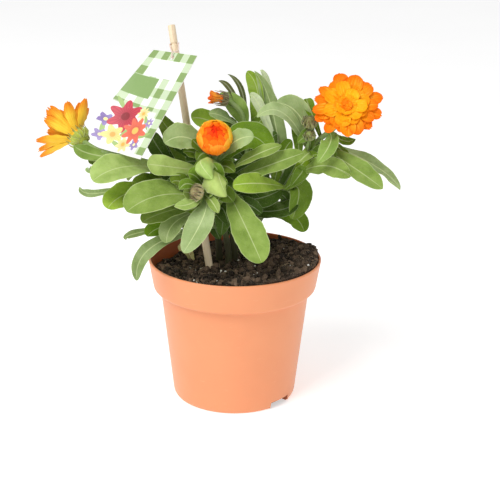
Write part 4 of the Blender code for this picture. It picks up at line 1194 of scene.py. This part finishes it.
def addLeaf(shape, root, via, tip, width, face, tint, draw, neck=0.2, pointed=0.0, widest=0.66, taper=1.5,
            teeth=0.02, **form):
    length = ((via - root).length + (tip - via).length) / mm
    seed = draw.random()
    neck = max(neck, leafForm["neckWidth"] / width)
    waves = draw.uniform(19, 31)

    def outline(u):  # shallow, uneven teeth along the margins
        rough = math.sin(waves * u + 40 * seed) + 0.6 * math.sin(2.3 * waves * u + 17 * seed)
        return leafOutline(u, neck, pointed, widest, taper) * (1 + teeth * rough * math.sin(math.pi * u))

    form.setdefault("ruffle", draw.uniform(0.3, 0.8) * min(1.0, width / 12))
    form.setdefault("crease", 0.35)
    place = bentBlade(root, via, tip, width * mm, face, outline, seed=seed, **form)
    count = max(12, min(leafForm["rows"], round(length * 0.7)))
    rows = [1 - (1 - step / count) ** 1.7 for step in range(count + 1)]
    thick = leafForm["thickness"] * mm
    high, half = leafForm["ridge"]

    def depth(u, v):  # thick at the midrib, thin at the margins
        ridge = high * math.exp(-(v * width / 2 * outline(u) / half) ** 2) * (1 - u) ** 0.7
        return thick * (0.55 + 0.45 * (1 - v * v)) + ridge * mm

    base = leafForm["tints"][tint]
    shade = draw.uniform(0.92, 1.08)
    warm = draw.uniform(0.95, 1.07)
    colour = (base[0] * shade * warm, base[1] * shade, base[2] * shade)
    values = {"size": (length, width / 2, seed), "tint": colour}
    upper = addBlade(shape, rows, leafForm["columns"], place, depth, values, 0)
    for edge in (0, -1):
        for first, second in zip(upper, upper[1:]):
            span = second[edge].co - first[edge].co
            outwards = (first[edge].co - first[len(first) // 2].co).normalized()
            for index in range(max(1, round(span.length / (hairForm["leaf"]["gap"] * mm)))):
                start = first[edge].co + span * draw.random() - outwards * 0.05 * mm
                way = outwards + span.normalized() * draw.uniform(0.0, 0.9)
                way += scattered(draw, -0.3, 0.3)
                addHair(shape, start, way.normalized(), draw, "leaf", hairForm["look"])


def addStemHairs(shape, route, radius, gap, draw):
    for first, second in zip(route, route[1:]):
        if first.z < hairForm["stem"]["above"] * mm:
            continue
        span = second - first
        side = span.orthogonal().normalized()
        for index in range(max(1, round(span.length / (gap * mm)))):
            around = Matrix.Rotation(draw.uniform(0, 2 * math.pi), 3, span) @ side
            root = first + span * draw.random() + around * radius * 0.97
            way = (around + span.normalized() * draw.uniform(-0.3, 0.5)).normalized()
            addHair(shape, root, way, draw, "stem", hairForm["look"])


def stemRoute(name):
    points = [millimetres(point) for point in shoots[name]["route"]]
    return smoothRoute(points, (len(points) + 5) * 4 + 1)


# Buds and the green cups under the blooms

budForm = {
    "sideBuds": (  # shoot, place on the stem, centre in mm, radius in mm, the way it points, tip tint
        ("shoot_low", 1.0, (-24, -50, 161), 4.5, (-0.80, -0.50, 0.33), (0.36, 0.29, 0.14)),
        ("shoot_right", 0.72, (49, -12, 190), 3.3, (-0.2, -0.6, 0.8), (0.27, 0.31, 0.09)),
        ("shoot_right", 0.80, (49, -8, 198), 4.2, (0.1, -0.5, 0.85), (0.28, 0.27, 0.09)),
    ),
    # count, bulge, the tip's reach and its rise
    "rows": ((9, 1.16, 0.46, 1.02), (8, 1.26, 0.80, 0.72), (6, 1.36, 1.20, 0.30)),
    "bractHair": {**hairForm["look"], "tint": (0.55, 0.60, 0.42)},
}


def bractOutline(u):
    return max(0.03, (1 - u ** 2.2)) * (0.75 + 0.25 * math.sin(math.pi * min(u * 1.6, 1.0)))


def addBract(shape, root, via, tip, width, way, draw, tint, cup=0.25):
    place = bentBlade(root, via, tip, width, way, bractOutline, cup=cup, wave=0.15, seed=draw.random())
    rows = [0.0, 0.15, 0.32, 0.5, 0.66, 0.8, 0.91, 1.0]
    values = {"size": ((tip - root).length / mm, width / 2 / mm, draw.random()), "tint": tint}
    columns = (-1.0, -0.5, 0.0, 0.5, 1.0)
    upper = addBlade(shape, rows, columns, place, lambda u, v: (0.5 - 0.25 * u) * mm, values, 2)
    for row, nextRow in zip(upper, upper[1:]):
        for edge in (0, -1):
            outwards = (row[edge].co - row[2].co).normalized()
            for index in range(2):
                start = row[edge].co.lerp(nextRow[edge].co, draw.random())
                side = scattered(draw, -1, 1) * 0.5
                addHair(shape, start, (outwards + side).normalized(), draw, "bract", budForm["bractHair"])


def bractFinish():
    material, wire = startFinish("bractGreen")
    place = wire.here()
    u, v = wire.attribute("blade").split()[:2]
    tint = wire.attribute("tint")
    fleck = wire.grain(place, 1400.0, 2.0)
    lines = (v * 9.0 + fleck * 1.5).sine().rise(0.2, 1.0)
    colour = wire.mixed(tint, (0.44, 0.52, 0.24), lines * 0.25)
    colour = wire.mixed(colour, (0.52, 0.58, 0.36), abs(v).rise(0.75, 1.0) * 0.45)
    colour = wire.mixed(colour, (0.13, 0.055, 0.03), (u + fleck * 0.25).rise(0.80, 1.05) * 0.8)
    endFinish(wire, {"Base Color": colour, "Roughness": 0.55 + fleck * 0.2, "Specular IOR Level": 0.3,
                     "Normal": wire.bump(lines * 0.5 + fleck, 0.0002, 0.6),
                     **glow(0.2, 0.0012, (0.6, 1.0, 0.2))})
    return material


bractGreen = bractFinish()


# The green body of a cup or a bud: a profile in shares of its radius and depth, turned about its axis
def addBody(shape, center, axis, profile, radius, depth, steps, tint, wobble=None):
    turn = axis.to_track_quat("Z", "Y").to_matrix()
    place = Matrix.Translation(center) @ turn.to_4x4()
    rings = [(r * radius, z * depth) for r, z in profile]
    for vertex in turned(shape, rings, steps, place, 1, wobble):
        note(shape, vertex, {"tint": tint, "blade": (0.2, 0.0, 1.0), "size": (5.0, 2.0, 0.5)})
    return turn


def addCup(shape, center, axis, radius, draw, tint, bracts):  # the cup under a head, with its rows of bracts
    depth = 0.95 * radius
    profile = ((0.0, 0.0), (0.55, 0.0), (0.80, -0.02), (0.86, -0.12), (0.87, -0.25), (0.80, -0.48),
               (0.64, -0.70), (0.44, -0.86), (0.27, -0.96), (0.0, -1.0))
    turn = addBody(shape, center, axis, profile, radius, depth, 28, tint,
                   lambda angle, height: 1 + 0.04 * math.cos(13 * angle))
    for row, (count, reach, rise, width) in enumerate(bracts):
        for index in range(count):
            angle = 2 * math.pi * (index + 0.5 * row + draw.uniform(-0.15, 0.15)) / count
            way = turn @ Vector((math.cos(angle), math.sin(angle), 0.0))
            longer = draw.uniform(0.92, 1.12)
            root = center + way * 0.50 * radius - axis * 0.80 * depth
            via = center + way * (0.97 + 0.05 * row) * radius - axis * (0.40 + 0.05 * row) * depth
            tip = center + way * reach * longer * radius + axis * rise * radius
            addBract(shape, root, via, tip, width * radius, way, draw, tint)


def addBud(shape, center, radius, axis, draw, tint):  # a closed bud, wrapped in bracts
    axis = axis.normalized()
    profile = ((0.0, -0.95), (0.35, -0.9), (0.68, -0.68), (0.86, -0.3), (0.86, 0.1), (0.72, 0.5),
               (0.45, 0.82), (0.0, 0.98))
    turn = addBody(shape, center, axis, profile, radius, radius, 20, tint)
    for row, (count, bulge, end, height) in enumerate(budForm["rows"]):
        for index in range(count):
            angle = 2 * math.pi * (index + 0.5 * row + draw.uniform(-0.1, 0.1)) / count
            way = turn @ Vector((math.cos(angle), math.sin(angle), 0.0))
            root = center + way * 0.45 * radius - axis * 0.85 * radius
            via = center + way * bulge * 0.98 * radius - axis * 0.02 * radius
            tip = center + way * end * draw.uniform(0.7, 1.3) * radius + axis * height * radius
            addBract(shape, root, via, tip, 0.66 * radius, way, draw, tint, cup=-0.12)


# Blooms

# Where the petals' ring sits in mm, the way the head looks, the green cup under it with its rows of bracts
# (count, reach, rise, width, all but the first in cup radii), and the petals. Rings run from the outside in:
# count, length, width, lift in degrees, root radius and height, petal colour at the root and at the tip.
blooms = {
    "bloom_left": {
        "shoot": "shoot_left", "center": (-106, -2, 185), "axis": (-0.676, 0.628, 0.385), "cup": 7.2,
        "tint": (0.42, 0.48, 0.055), "bracts": ((15, 1.16, 0.34, 0.36), (12, 1.14, 0.10, 0.42)),
        "far": (0.36, 0.74, -0.57), "lifts": (34, 14),  # more lift at the far and at the near side
        "short": (0.643, 0.246, 0.726),  # petals are shorter this way
        "rings": ((13, 25.5, 7.8, 20, 4.6, 1.0, (0.98, 0.58, 0.035), (0.88, 0.20, 0.003)),
                  (11, 22.5, 7.2, 27, 4.0, 1.6, (0.97, 0.56, 0.04), (0.88, 0.24, 0.006)),
                  (8, 20, 6.6, 40, 3.4, 2.4, (0.96, 0.50, 0.03), (0.90, 0.26, 0.006))),
    },
    "bloom_right": {
        "shoot": "shoot_right", "center": (73, -9, 208), "axis": (0.02, -0.86, 0.51), "cup": 8.0,
        "tint": (0.20, 0.30, 0.05), "bracts": ((13, 1.24, 0.04, 0.40), (11, 1.16, -0.10, 0.46)),
        # the outermost petals one by one: compass angle seen from the front, tip's distance, width
        "outer": ((103, 23.8, 10.6), (72, 22.6, 11.0), (57, 21.4, 9), (42, 22.4, 9.4), (17, 25.2, 9.0),
                  (2, 21.0, 8), (-14, 24.0, 8.6), (-28, 20.5, 8), (-43, 22.0, 9), (-69, 21.6, 10.4),
                  (-88, 19.4, 9), (-105, 19.5, 9), (-129, 23.2, 7.4), (-143, 19.5, 7),
                  (-156, 23.6, 7.4), (-170, 24.0, 7.4), (166, 22.4, 8), (148, 22.6, 7.6),
                  (126, 18.0, 8), (88, 20.0, 8)),
        "notch": (0.01, 0.06),
        "outerRoot": (4.8, 1.0, 5),  # root radius and height, lift in degrees
        "outerTints": ((1.0, 0.33, 0.003), (0.90, 0.155, 0.001)),
        "rings": ((9, 16.4, 11.0, 7, 3.6, 2.0, (1.0, 0.33, 0.003), (0.97, 0.22, 0.001)),
                  (8, 13.6, 10.6, 11, 3.0, 2.7, (1.0, 0.42, 0.005), (1.0, 0.33, 0.003)),
                  (6, 10.6, 9.6, 16, 2.2, 3.3, (1.0, 0.44, 0.006), (1.0, 0.38, 0.003)),
                  (6, 7.0, 7.4, 24, 1.4, 3.8, (1.0, 0.38, 0.004), (1.0, 0.34, 0.002)),
                  (5, 4.2, 4.6, 40, 0.6, 4.3, (0.98, 0.26, 0.002), (0.97, 0.22, 0.001))),
    },
    "bloom_center": {
        "shoot": "shoot_center", "center": (-13.6, -27, 188.5), "axis": (0.05, -0.72, 0.66), "cup": 8.2,
        "tint": (0.14, 0.12, 0.04), "bracts": ((13, 1.30, 0.42, 0.40), (11, 1.22, 0.10, 0.46)),
        # a half-open head: petals wrapped about a ball of this radius, whose middle stands this high
        "dome": (11.4, 5.6),
        # count, the tip's angle from the axis in degrees, width, share of the ball's radius, and the colours
        "wraps": ((9, 52, 10.5, 1.00, (1.0, 0.36, 0.010), (1.0, 0.56, 0.05)),
                  (9, 38, 9.5, 0.98, (1.0, 0.25, 0.005), (1.0, 0.30, 0.008)),
                  (8, 25, 8.0, 0.955, (0.98, 0.16, 0.003), (0.98, 0.19, 0.004)),
                  (7, 13, 6.0, 0.93, (0.92, 0.07, 0.001), (0.95, 0.10, 0.002)),
                  (5, 5, 4.6, 0.905, (0.78, 0.03, 0.001), (0.84, 0.04, 0.001))),
        "rings": (),
    },
    "bloom_bud": {
        "shoot": "shoot_back", "center": (-9, -2, 212), "axis": (-0.95, -0.22, 0.20), "cup": 4.4,
        "tint": (0.13, 0.095, 0.035), "bracts": ((9, 1.05, 1.30, 0.50), (8, 1.25, 0.70, 0.56)),
        "rings": ((9, 9.0, 3.4, 74, 2.2, 0.8, (0.90, 0.26, 0.02), (0.80, 0.13, 0.012)),
                  (7, 8.0, 2.8, 82, 1.4, 1.2, (0.90, 0.24, 0.02), (0.86, 0.15, 0.012)),
                  (4, 7.0, 2.2, 88, 0.6, 1.6, (0.85, 0.18, 0.01), (0.84, 0.12, 0.01))),
    },
}
petalForm = {
    "thickness": 0.32,
    "rows": 15,
    "columns": 12,
    "notch": (0.02, 0.10),  # how deep the tip is notched, in shares of the petal's length
    "bulge": 0.035,
    "wrapFrom": 118,  # degrees from the axis, where a wrapped petal starts
}


def petalOutline(u):
    if u < 0.72:
        return 0.34 + 0.66 * math.sin(math.pi / 2 * u / 0.72) ** 0.9
    part = (u - 0.72) / 0.28
    return math.sqrt(max(0.0, 1 - (part * 0.93) ** 2.3))


def petalFinish():
    material, wire = startFinish("petalOrange")
    u, v, sideOf = wire.attribute("blade").split()
    half, seed = wire.attribute("size").split()[1:]
    rootTint, tipTint = wire.attribute("tint"), wire.attribute("tipTint")
    alongPetal = wire.joined(v * half * 1.5, u * 1.2, seed * 60.0)
    streak = wire.grain(alongPetal, 1.6, 3.0, 0.6)
    cloud = wire.grain(wire.here(), 320.0, 3.0)
    blend = (u + (streak - 0.5) * 0.35 + abs(v) * 0.10).rise(0.52, 1.04)
    colour = wire.mixed(rootTint, tipTint, blend)
    deeper = wire.mixed(colour, (0.98, 0.62, 0.30), 1.0, "MULTIPLY")
    colour = wire.mixed(colour, deeper, streak.rise(0.52, 0.7) * 0.45)
    paler = (1 - streak.rise(0.30, 0.46)) * (1 - u.rise(0.5, 1.0))
    colour = wire.mixed(colour, wire.mixed(colour, (1.0, 0.80, 0.16), 0.35), paler)
    back = wire.mixed(colour, (0.97, 0.62, 0.10), 0.14)
    colour = wire.mixed(back, colour, sideOf.rise(-0.2, 0.2))
    veins = (v * 15.7).sine() * (1 - u.rise(0.85, 1.0))
    endFinish(wire, {"Base Color": colour, "Roughness": 0.50 + cloud * 0.14, "Specular IOR Level": 0.10,
                     "Normal": wire.bump(veins * 0.4 + streak * 0.8, 0.0002, 0.5),
                     **glow(0.10, 0.0006, (1.0, 0.9, 0.6)), **sheen(0.02, 0.5, (1.0, 0.7, 0.3))})
    return material


petalOrange = petalFinish()


def addPetal(shape, root, via, tip, width, face, rootTint, tipTint, draw, notch, cup=0.22):
    seed = draw.random()
    teeth = draw.choice((1.0, 1.5, 1.5))
    lean = draw.uniform(-0.25, 0.25)

    def reach(v, u):
        return 1 - notch * u * math.sin(teeth * math.pi * (v + lean * (1 - abs(v)))) ** 2 - 0.04 * u * v * v

    place = bentBlade(root, via, tip, width, face, petalOutline, cup=cup, wave=draw.uniform(0.1, 0.6),
                      reach=reach, seed=seed, channel=0.06, twist=draw.uniform(-12, 12),
                      ruffle=draw.uniform(0.1, 0.45))
    form = petalForm
    rows = [1 - (1 - step / form["rows"]) ** 1.3 for step in range(form["rows"] + 1)]
    columns = [-1 + 2 * step / form["columns"] for step in range(form["columns"] + 1)]
    values = {"size": ((tip - root).length / mm, width / 2 / mm, seed), "tint": rootTint, "tipTint": tipTint}
    addBlade(shape, rows, columns, place, lambda u, v: form["thickness"] * mm * (1 - 0.45 * v * v), values)


def makeBloom(name):
    bloom = blooms[name]
    draw = random.Random(len(name) * 7)
    axis = Vector(bloom["axis"]).normalized()
    turn = axis.to_track_quat("Z", "Y").to_matrix()
    base = millimetres(bloom["center"]) + axis * 0.3 * mm
    shape = startShape()

    def around(angle):  # outwards from the axis, 0 to the right and 90 degrees upwards as seen from the front
        right = (Vector((1, 0, 0)) - axis * axis.x).normalized()
        return right * math.cos(angle) + axis.cross(right) * math.sin(angle)

    def layPetal(out, length, width, lift, radius, height, tints):
        slope = math.radians(lift)
        way = out * math.cos(slope) + axis * math.sin(slope)
        over = axis * math.cos(slope) - out * math.sin(slope)
        root = base + out * radius * mm + axis * height * mm
        span = length * mm
        via = root + way * span * 0.55 + over * span * (petalForm["bulge"] + draw.uniform(-0.04, 0.05))
        bright = draw.uniform(0.94, 1.04)
        shades = [tuple(min(1.0, value * bright) for value in tint) for tint in tints]
        addPetal(shape, root, via, root + way * span, width * mm, over, *shades, draw,
                 draw.uniform(*bloom.get("notch", petalForm["notch"])))

    if "dome" in bloom:
        ball, stand = bloom["dome"]
        middle = base + axis * stand * mm
        for ring, (count, near, width, share, rootTint, tipTint) in enumerate(bloom["wraps"]):
            for index in range(count):
                out = around(2 * math.pi * (index + 0.5 * (ring % 2) + draw.uniform(-0.2, 0.2)) / count)
                warm = 1 + 0.65 * (0.9 * out.z + 0.25 * out.x)  # yellower towards the top and the right: partly the rim's own yellow, partly a painted highlight
                size = ball * share * draw.uniform(0.97, 1.03) * mm
                start = petalForm["wrapFrom"]
                spot = lambda degrees: middle + size * (out * math.sin(math.radians(degrees))
                                                        + axis * math.cos(math.radians(degrees)))
                end = near + draw.uniform(-4, 4)
                mid = start - 0.55 * (start - end)
                tints = [(tint[0], min(0.8, tint[1] * warm), tint[2] * warm) for tint in (rootTint, tipTint)]
                addPetal(shape, spot(start), spot(mid), spot(end), width * mm, spot(mid) - middle, *tints,
                         draw, 0.03, cup=-0.24)
        arcs = [math.pi * step / 12 for step in range(9)]
        core = bloom["wraps"][-1][4:]
        inner = 0.86 * ball
        profile = [(inner * math.sin(arc), stand + inner * math.cos(arc)) for arc in arcs] + [(0.0, 0.0)]
    else:
        outermost, innermost = bloom["rings"][0], bloom["rings"][-1]
        core = innermost[6:]
        radius, top = outermost[4] + 0.5, innermost[5] + 1.2
        profile = [(0.0, top), (0.45 * outermost[4], top - 0.4), (radius, 1.6), (radius, 0.0), (0.0, 0.0)]
    place = Matrix.Translation(base) @ turn.to_4x4()
    look = {"tint": core[0], "tipTint": core[1], "blade": (0.5, 0.0, 1.0), "size": (5.0, 3.0, 0.3)}
    for vertex in turned(shape, [(r * mm, z * mm) for r, z in profile], 24, place):
        note(shape, vertex, look)
    for order, (angle, distance, width) in enumerate(bloom.get("outer", ())):
        radius, height, lift = bloom["outerRoot"]
        above = order % 2  # every other petal lies a little higher
        layPetal(around(math.radians(angle)), distance - radius, width, lift + 6 * above, radius,
                 height + 0.5 * above, bloom["outerTints"])
    for ring, (count, length, width, lift, radius, height, rootTint, tipTint) in enumerate(bloom["rings"]):
        for index in range(count):
            out = around(2 * math.pi * (index + 0.5 * (ring % 2) + draw.uniform(-0.25, 0.25)) / count)
            tilt = lift + draw.uniform(-7, 7)
            reach = length * draw.uniform(0.80, 1.12)
            if "far" in bloom:
                far, short = out.dot(Vector(bloom["far"])), out.dot(Vector(bloom["short"]))
                tilt += bloom["lifts"][0] * min(1.0, 1.7 * far) if far > 0 else -bloom["lifts"][1] * far
                tilt += 11 * max(0.0, -short) ** 4
                reach *= 1 - 0.34 * max(0.0, short) ** 8
            layPetal(out, reach, width * draw.uniform(0.85, 1.08), tilt, radius, height, (rootTint, tipTint))
    addPiece(name + "_petals", shape, (petalOrange,), (name,), 55.0)


def makeShoot(name):
    shoot = shoots[name]
    draw = random.Random(sum(ord(letter) for letter in name))
    shape = startShape()
    route = stemRoute(name)
    radii = [radius * mm for radius in shoot["radii"]]
    green, sides, ribs = stemForm["look"], stemForm["sides"], stemForm["ribs"]
    sweep(shape, route, radii, sides, green, 1, ribs)
    addStemHairs(shape, route, radii[1] * 1.1, stemForm["hairGap"], draw)
    for at, via, tip, width, face, tint, *form in shoot["leaves"]:
        root = along(route, at)
        addLeaf(shape, root, millimetres(via), millimetres(tip), width, face, tint, draw, **dict(*form))
    for shootName, seed, count, (low, high), (first, last), rise in farLeaves:
        if shootName != name:
            continue
        spread = random.Random(seed)
        for index in range(count):
            part = (index + 0.5) / count
            root = along(route, low + (high - low) * ((index * 0.618) % 1.0))
            angle = math.radians(first + (last - first) * part)
            way = Vector((math.cos(angle), math.sin(angle), 0.0))
            length = spread.uniform(*farForm["length"]) * mm
            lift = (rise + spread.uniform(-5, 5)) * mm
            via = root + way * length * 0.55 + Vector((0.0, 0.0, 0.5 * lift + farForm["arch"] * mm))
            tip = root + way * length + Vector((0.0, 0.0, lift))
            width = spread.uniform(*farForm["width"])
            addLeaf(shape, root, via, tip, width, (0, 0, 1), ("mid", "grey", "fresh")[index % 3], draw)
    for shootName, at, center, radius, pointing, tint in budForm["sideBuds"]:
        if shootName != name:
            continue
        center = millimetres(center)
        if at < 1.0:
            start = along(route, at)
            twig = smoothRoute([start, start.lerp(center, 0.5) - Vector((0, 0, mm)), center], 12)
            sweep(shape, twig, [radius * mm for radius in stemForm["twigRadii"]], 12, green, 1)
        addBud(shape, center, radius * mm, Vector(pointing), draw, tint)
    for bloom in blooms.values():
        if bloom["shoot"] != name:
            continue
        axis = Vector(bloom["axis"]).normalized()
        foot = millimetres(bloom["center"]) - axis * 0.8 * bloom["cup"] * mm
        bend = [along(route, 0.8), along(route, 0.9), route[-1], foot]
        neck = smoothRoute(bend, 28)[14:]
        sweep(shape, neck, (radii[1] * 0.99, radii[1] * 1.05), sides, green, 1, ribs)
        addStemHairs(shape, neck, radii[1], stemForm["neckHairGap"], draw)
        addCup(shape, millimetres(bloom["center"]), axis, bloom["cup"] * mm, draw, bloom["tint"],
               bloom["bracts"])
    addPiece(name + "_leafy", shape, (leafGreen, stemGreen, bractGreen), (name,), 55.0)


for name in shoots:
    makeShoot(name)
for name in blooms:
    makeBloom(name)


# The withered leaf on the soil

witheredForm = {
    "root": (-31, 21, 89.4),
    "via": (-35.5, 26, 96),
    "tip": (-41, 32, 98),
    "width": 9,
    "thickness": 0.4,
    "face": (0.3, -0.8, 0.5),
}


def makeWithered():
    material, wire = startFinish("witheredLeaf")
    v = wire.attribute("blade").split()[1]
    fleck = wire.grain(wire.here(), 600.0, 4.0)
    rib = 1 - abs(v).rise(0.02, 0.12)
    colour = wire.mixed((0.52, 0.46, 0.20), (0.26, 0.17, 0.07), fleck.rise(0.45, 0.75))
    colour = wire.mixed(colour, (0.66, 0.58, 0.34), rib * 0.7)
    endFinish(wire, {"Base Color": colour, "Roughness": 0.7 + fleck * 0.2,
                     "Normal": wire.bump(fleck - rib, 0.0005, 0.7)})
    form = witheredForm
    shape = startShape()
    place = bentBlade(millimetres(form["root"]), millimetres(form["via"]), millimetres(form["tip"]),
                      form["width"] * mm, form["face"], lambda u: leafOutline(u, 0.4, 0.6), cup=0.3, wave=1.0,
                      ruffle=0.6, crease=0.3, seed=0.4)
    rows = [1 - (1 - step / 20) ** 1.5 for step in range(21)]
    addBlade(shape, rows, leafForm["columns"], place, lambda u, v: form["thickness"] * mm,
             {"size": (20, form["width"] / 2, 0.4)})
    addPiece("withered_leaf_curled", shape, (material,), ("dead_leaf",), 55.0)


makeWithered()


# Floor, lights and camera

studio = {
    "floorColour": (0.84, 0.84, 0.84),
    "floorGlow": 0.46,
    "floorHalf": 14.0,  # in metres, half of the floor's width
    "world": 0.53,
    "key": (-0.75, -0.85, 1.35, 0.9, 20.0),  # x, y, z, size in metres, watts
    "fill": (1.2, -1.3, 0.7, 1.6, 4.0),
    "lampTarget": (0.0, 0.0, 0.1),
    "camera": (10.4, -753.3, 363.3),  # mm
    "pitchDown": 0.330,
    "roll": 0.011,
    "film": 36.0,
    "focalShare": 1144.0 / 500.0,  # the focal length in pixels, over the frame's 500 pixels
    "clipStart": 0.02,
}


def makeStudio():
    material, wire = startFinish("paleFloor")
    cloud = wire.grain(wire.here(), 3.0, 2.0)
    colour = wire.mixed(studio["floorColour"], (0.82, 0.82, 0.82), cloud.rise(0.3, 0.8))
    endFinish(wire, {"Base Color": colour, "Roughness": 0.8 + cloud * 0.1, "Specular IOR Level": 0.2,
                     "Emission Color": (1.0, 1.0, 1.0, 1.0), "Emission Strength": studio["floorGlow"]})
    shape = bmesh.new()
    bmesh.ops.create_grid(shape, x_segments=8, y_segments=8, size=studio["floorHalf"])
    addObject("floor", shape, (material,))
    world = bpy.data.worlds.new("studioWorld")
    bpy.context.scene.world = world
    world.use_nodes = True
    background = world.node_tree.nodes["Background"]
    background.inputs["Color"].default_value = (1.0, 1.0, 1.0, 1.0)
    background.inputs["Strength"].default_value = studio["world"]
    for name in ("key", "fill"):
        *place, size, watts = studio[name]
        lamp = bpy.data.lights.new(name, "AREA")
        lamp.size = size
        lamp.energy = watts
        holder = bpy.data.objects.new(name, lamp)
        holder.location = place
        towards = Vector(studio["lampTarget"]) - Vector(place)
        holder.rotation_euler = towards.to_track_quat("-Z", "Y").to_euler()
        bpy.context.scene.collection.objects.link(holder)
    lens = bpy.data.cameras.new("camera")
    lens.lens = studio["focalShare"] * studio["film"]
    lens.sensor_width = studio["film"]
    lens.clip_start = studio["clipStart"]
    camera = bpy.data.objects.new("camera", lens)
    pitch = Matrix.Rotation(math.pi / 2 - studio["pitchDown"], 4, "X")
    roll = Matrix.Rotation(studio["roll"], 4, "Z")
    camera.matrix_world = Matrix.Translation(millimetres(studio["camera"])) @ (pitch @ roll)
    bpy.context.scene.collection.objects.link(camera)
    bpy.context.scene.camera = camera
    bpy.context.scene.view_settings.view_transform = "Standard"


makeStudio()
print("studio ready")
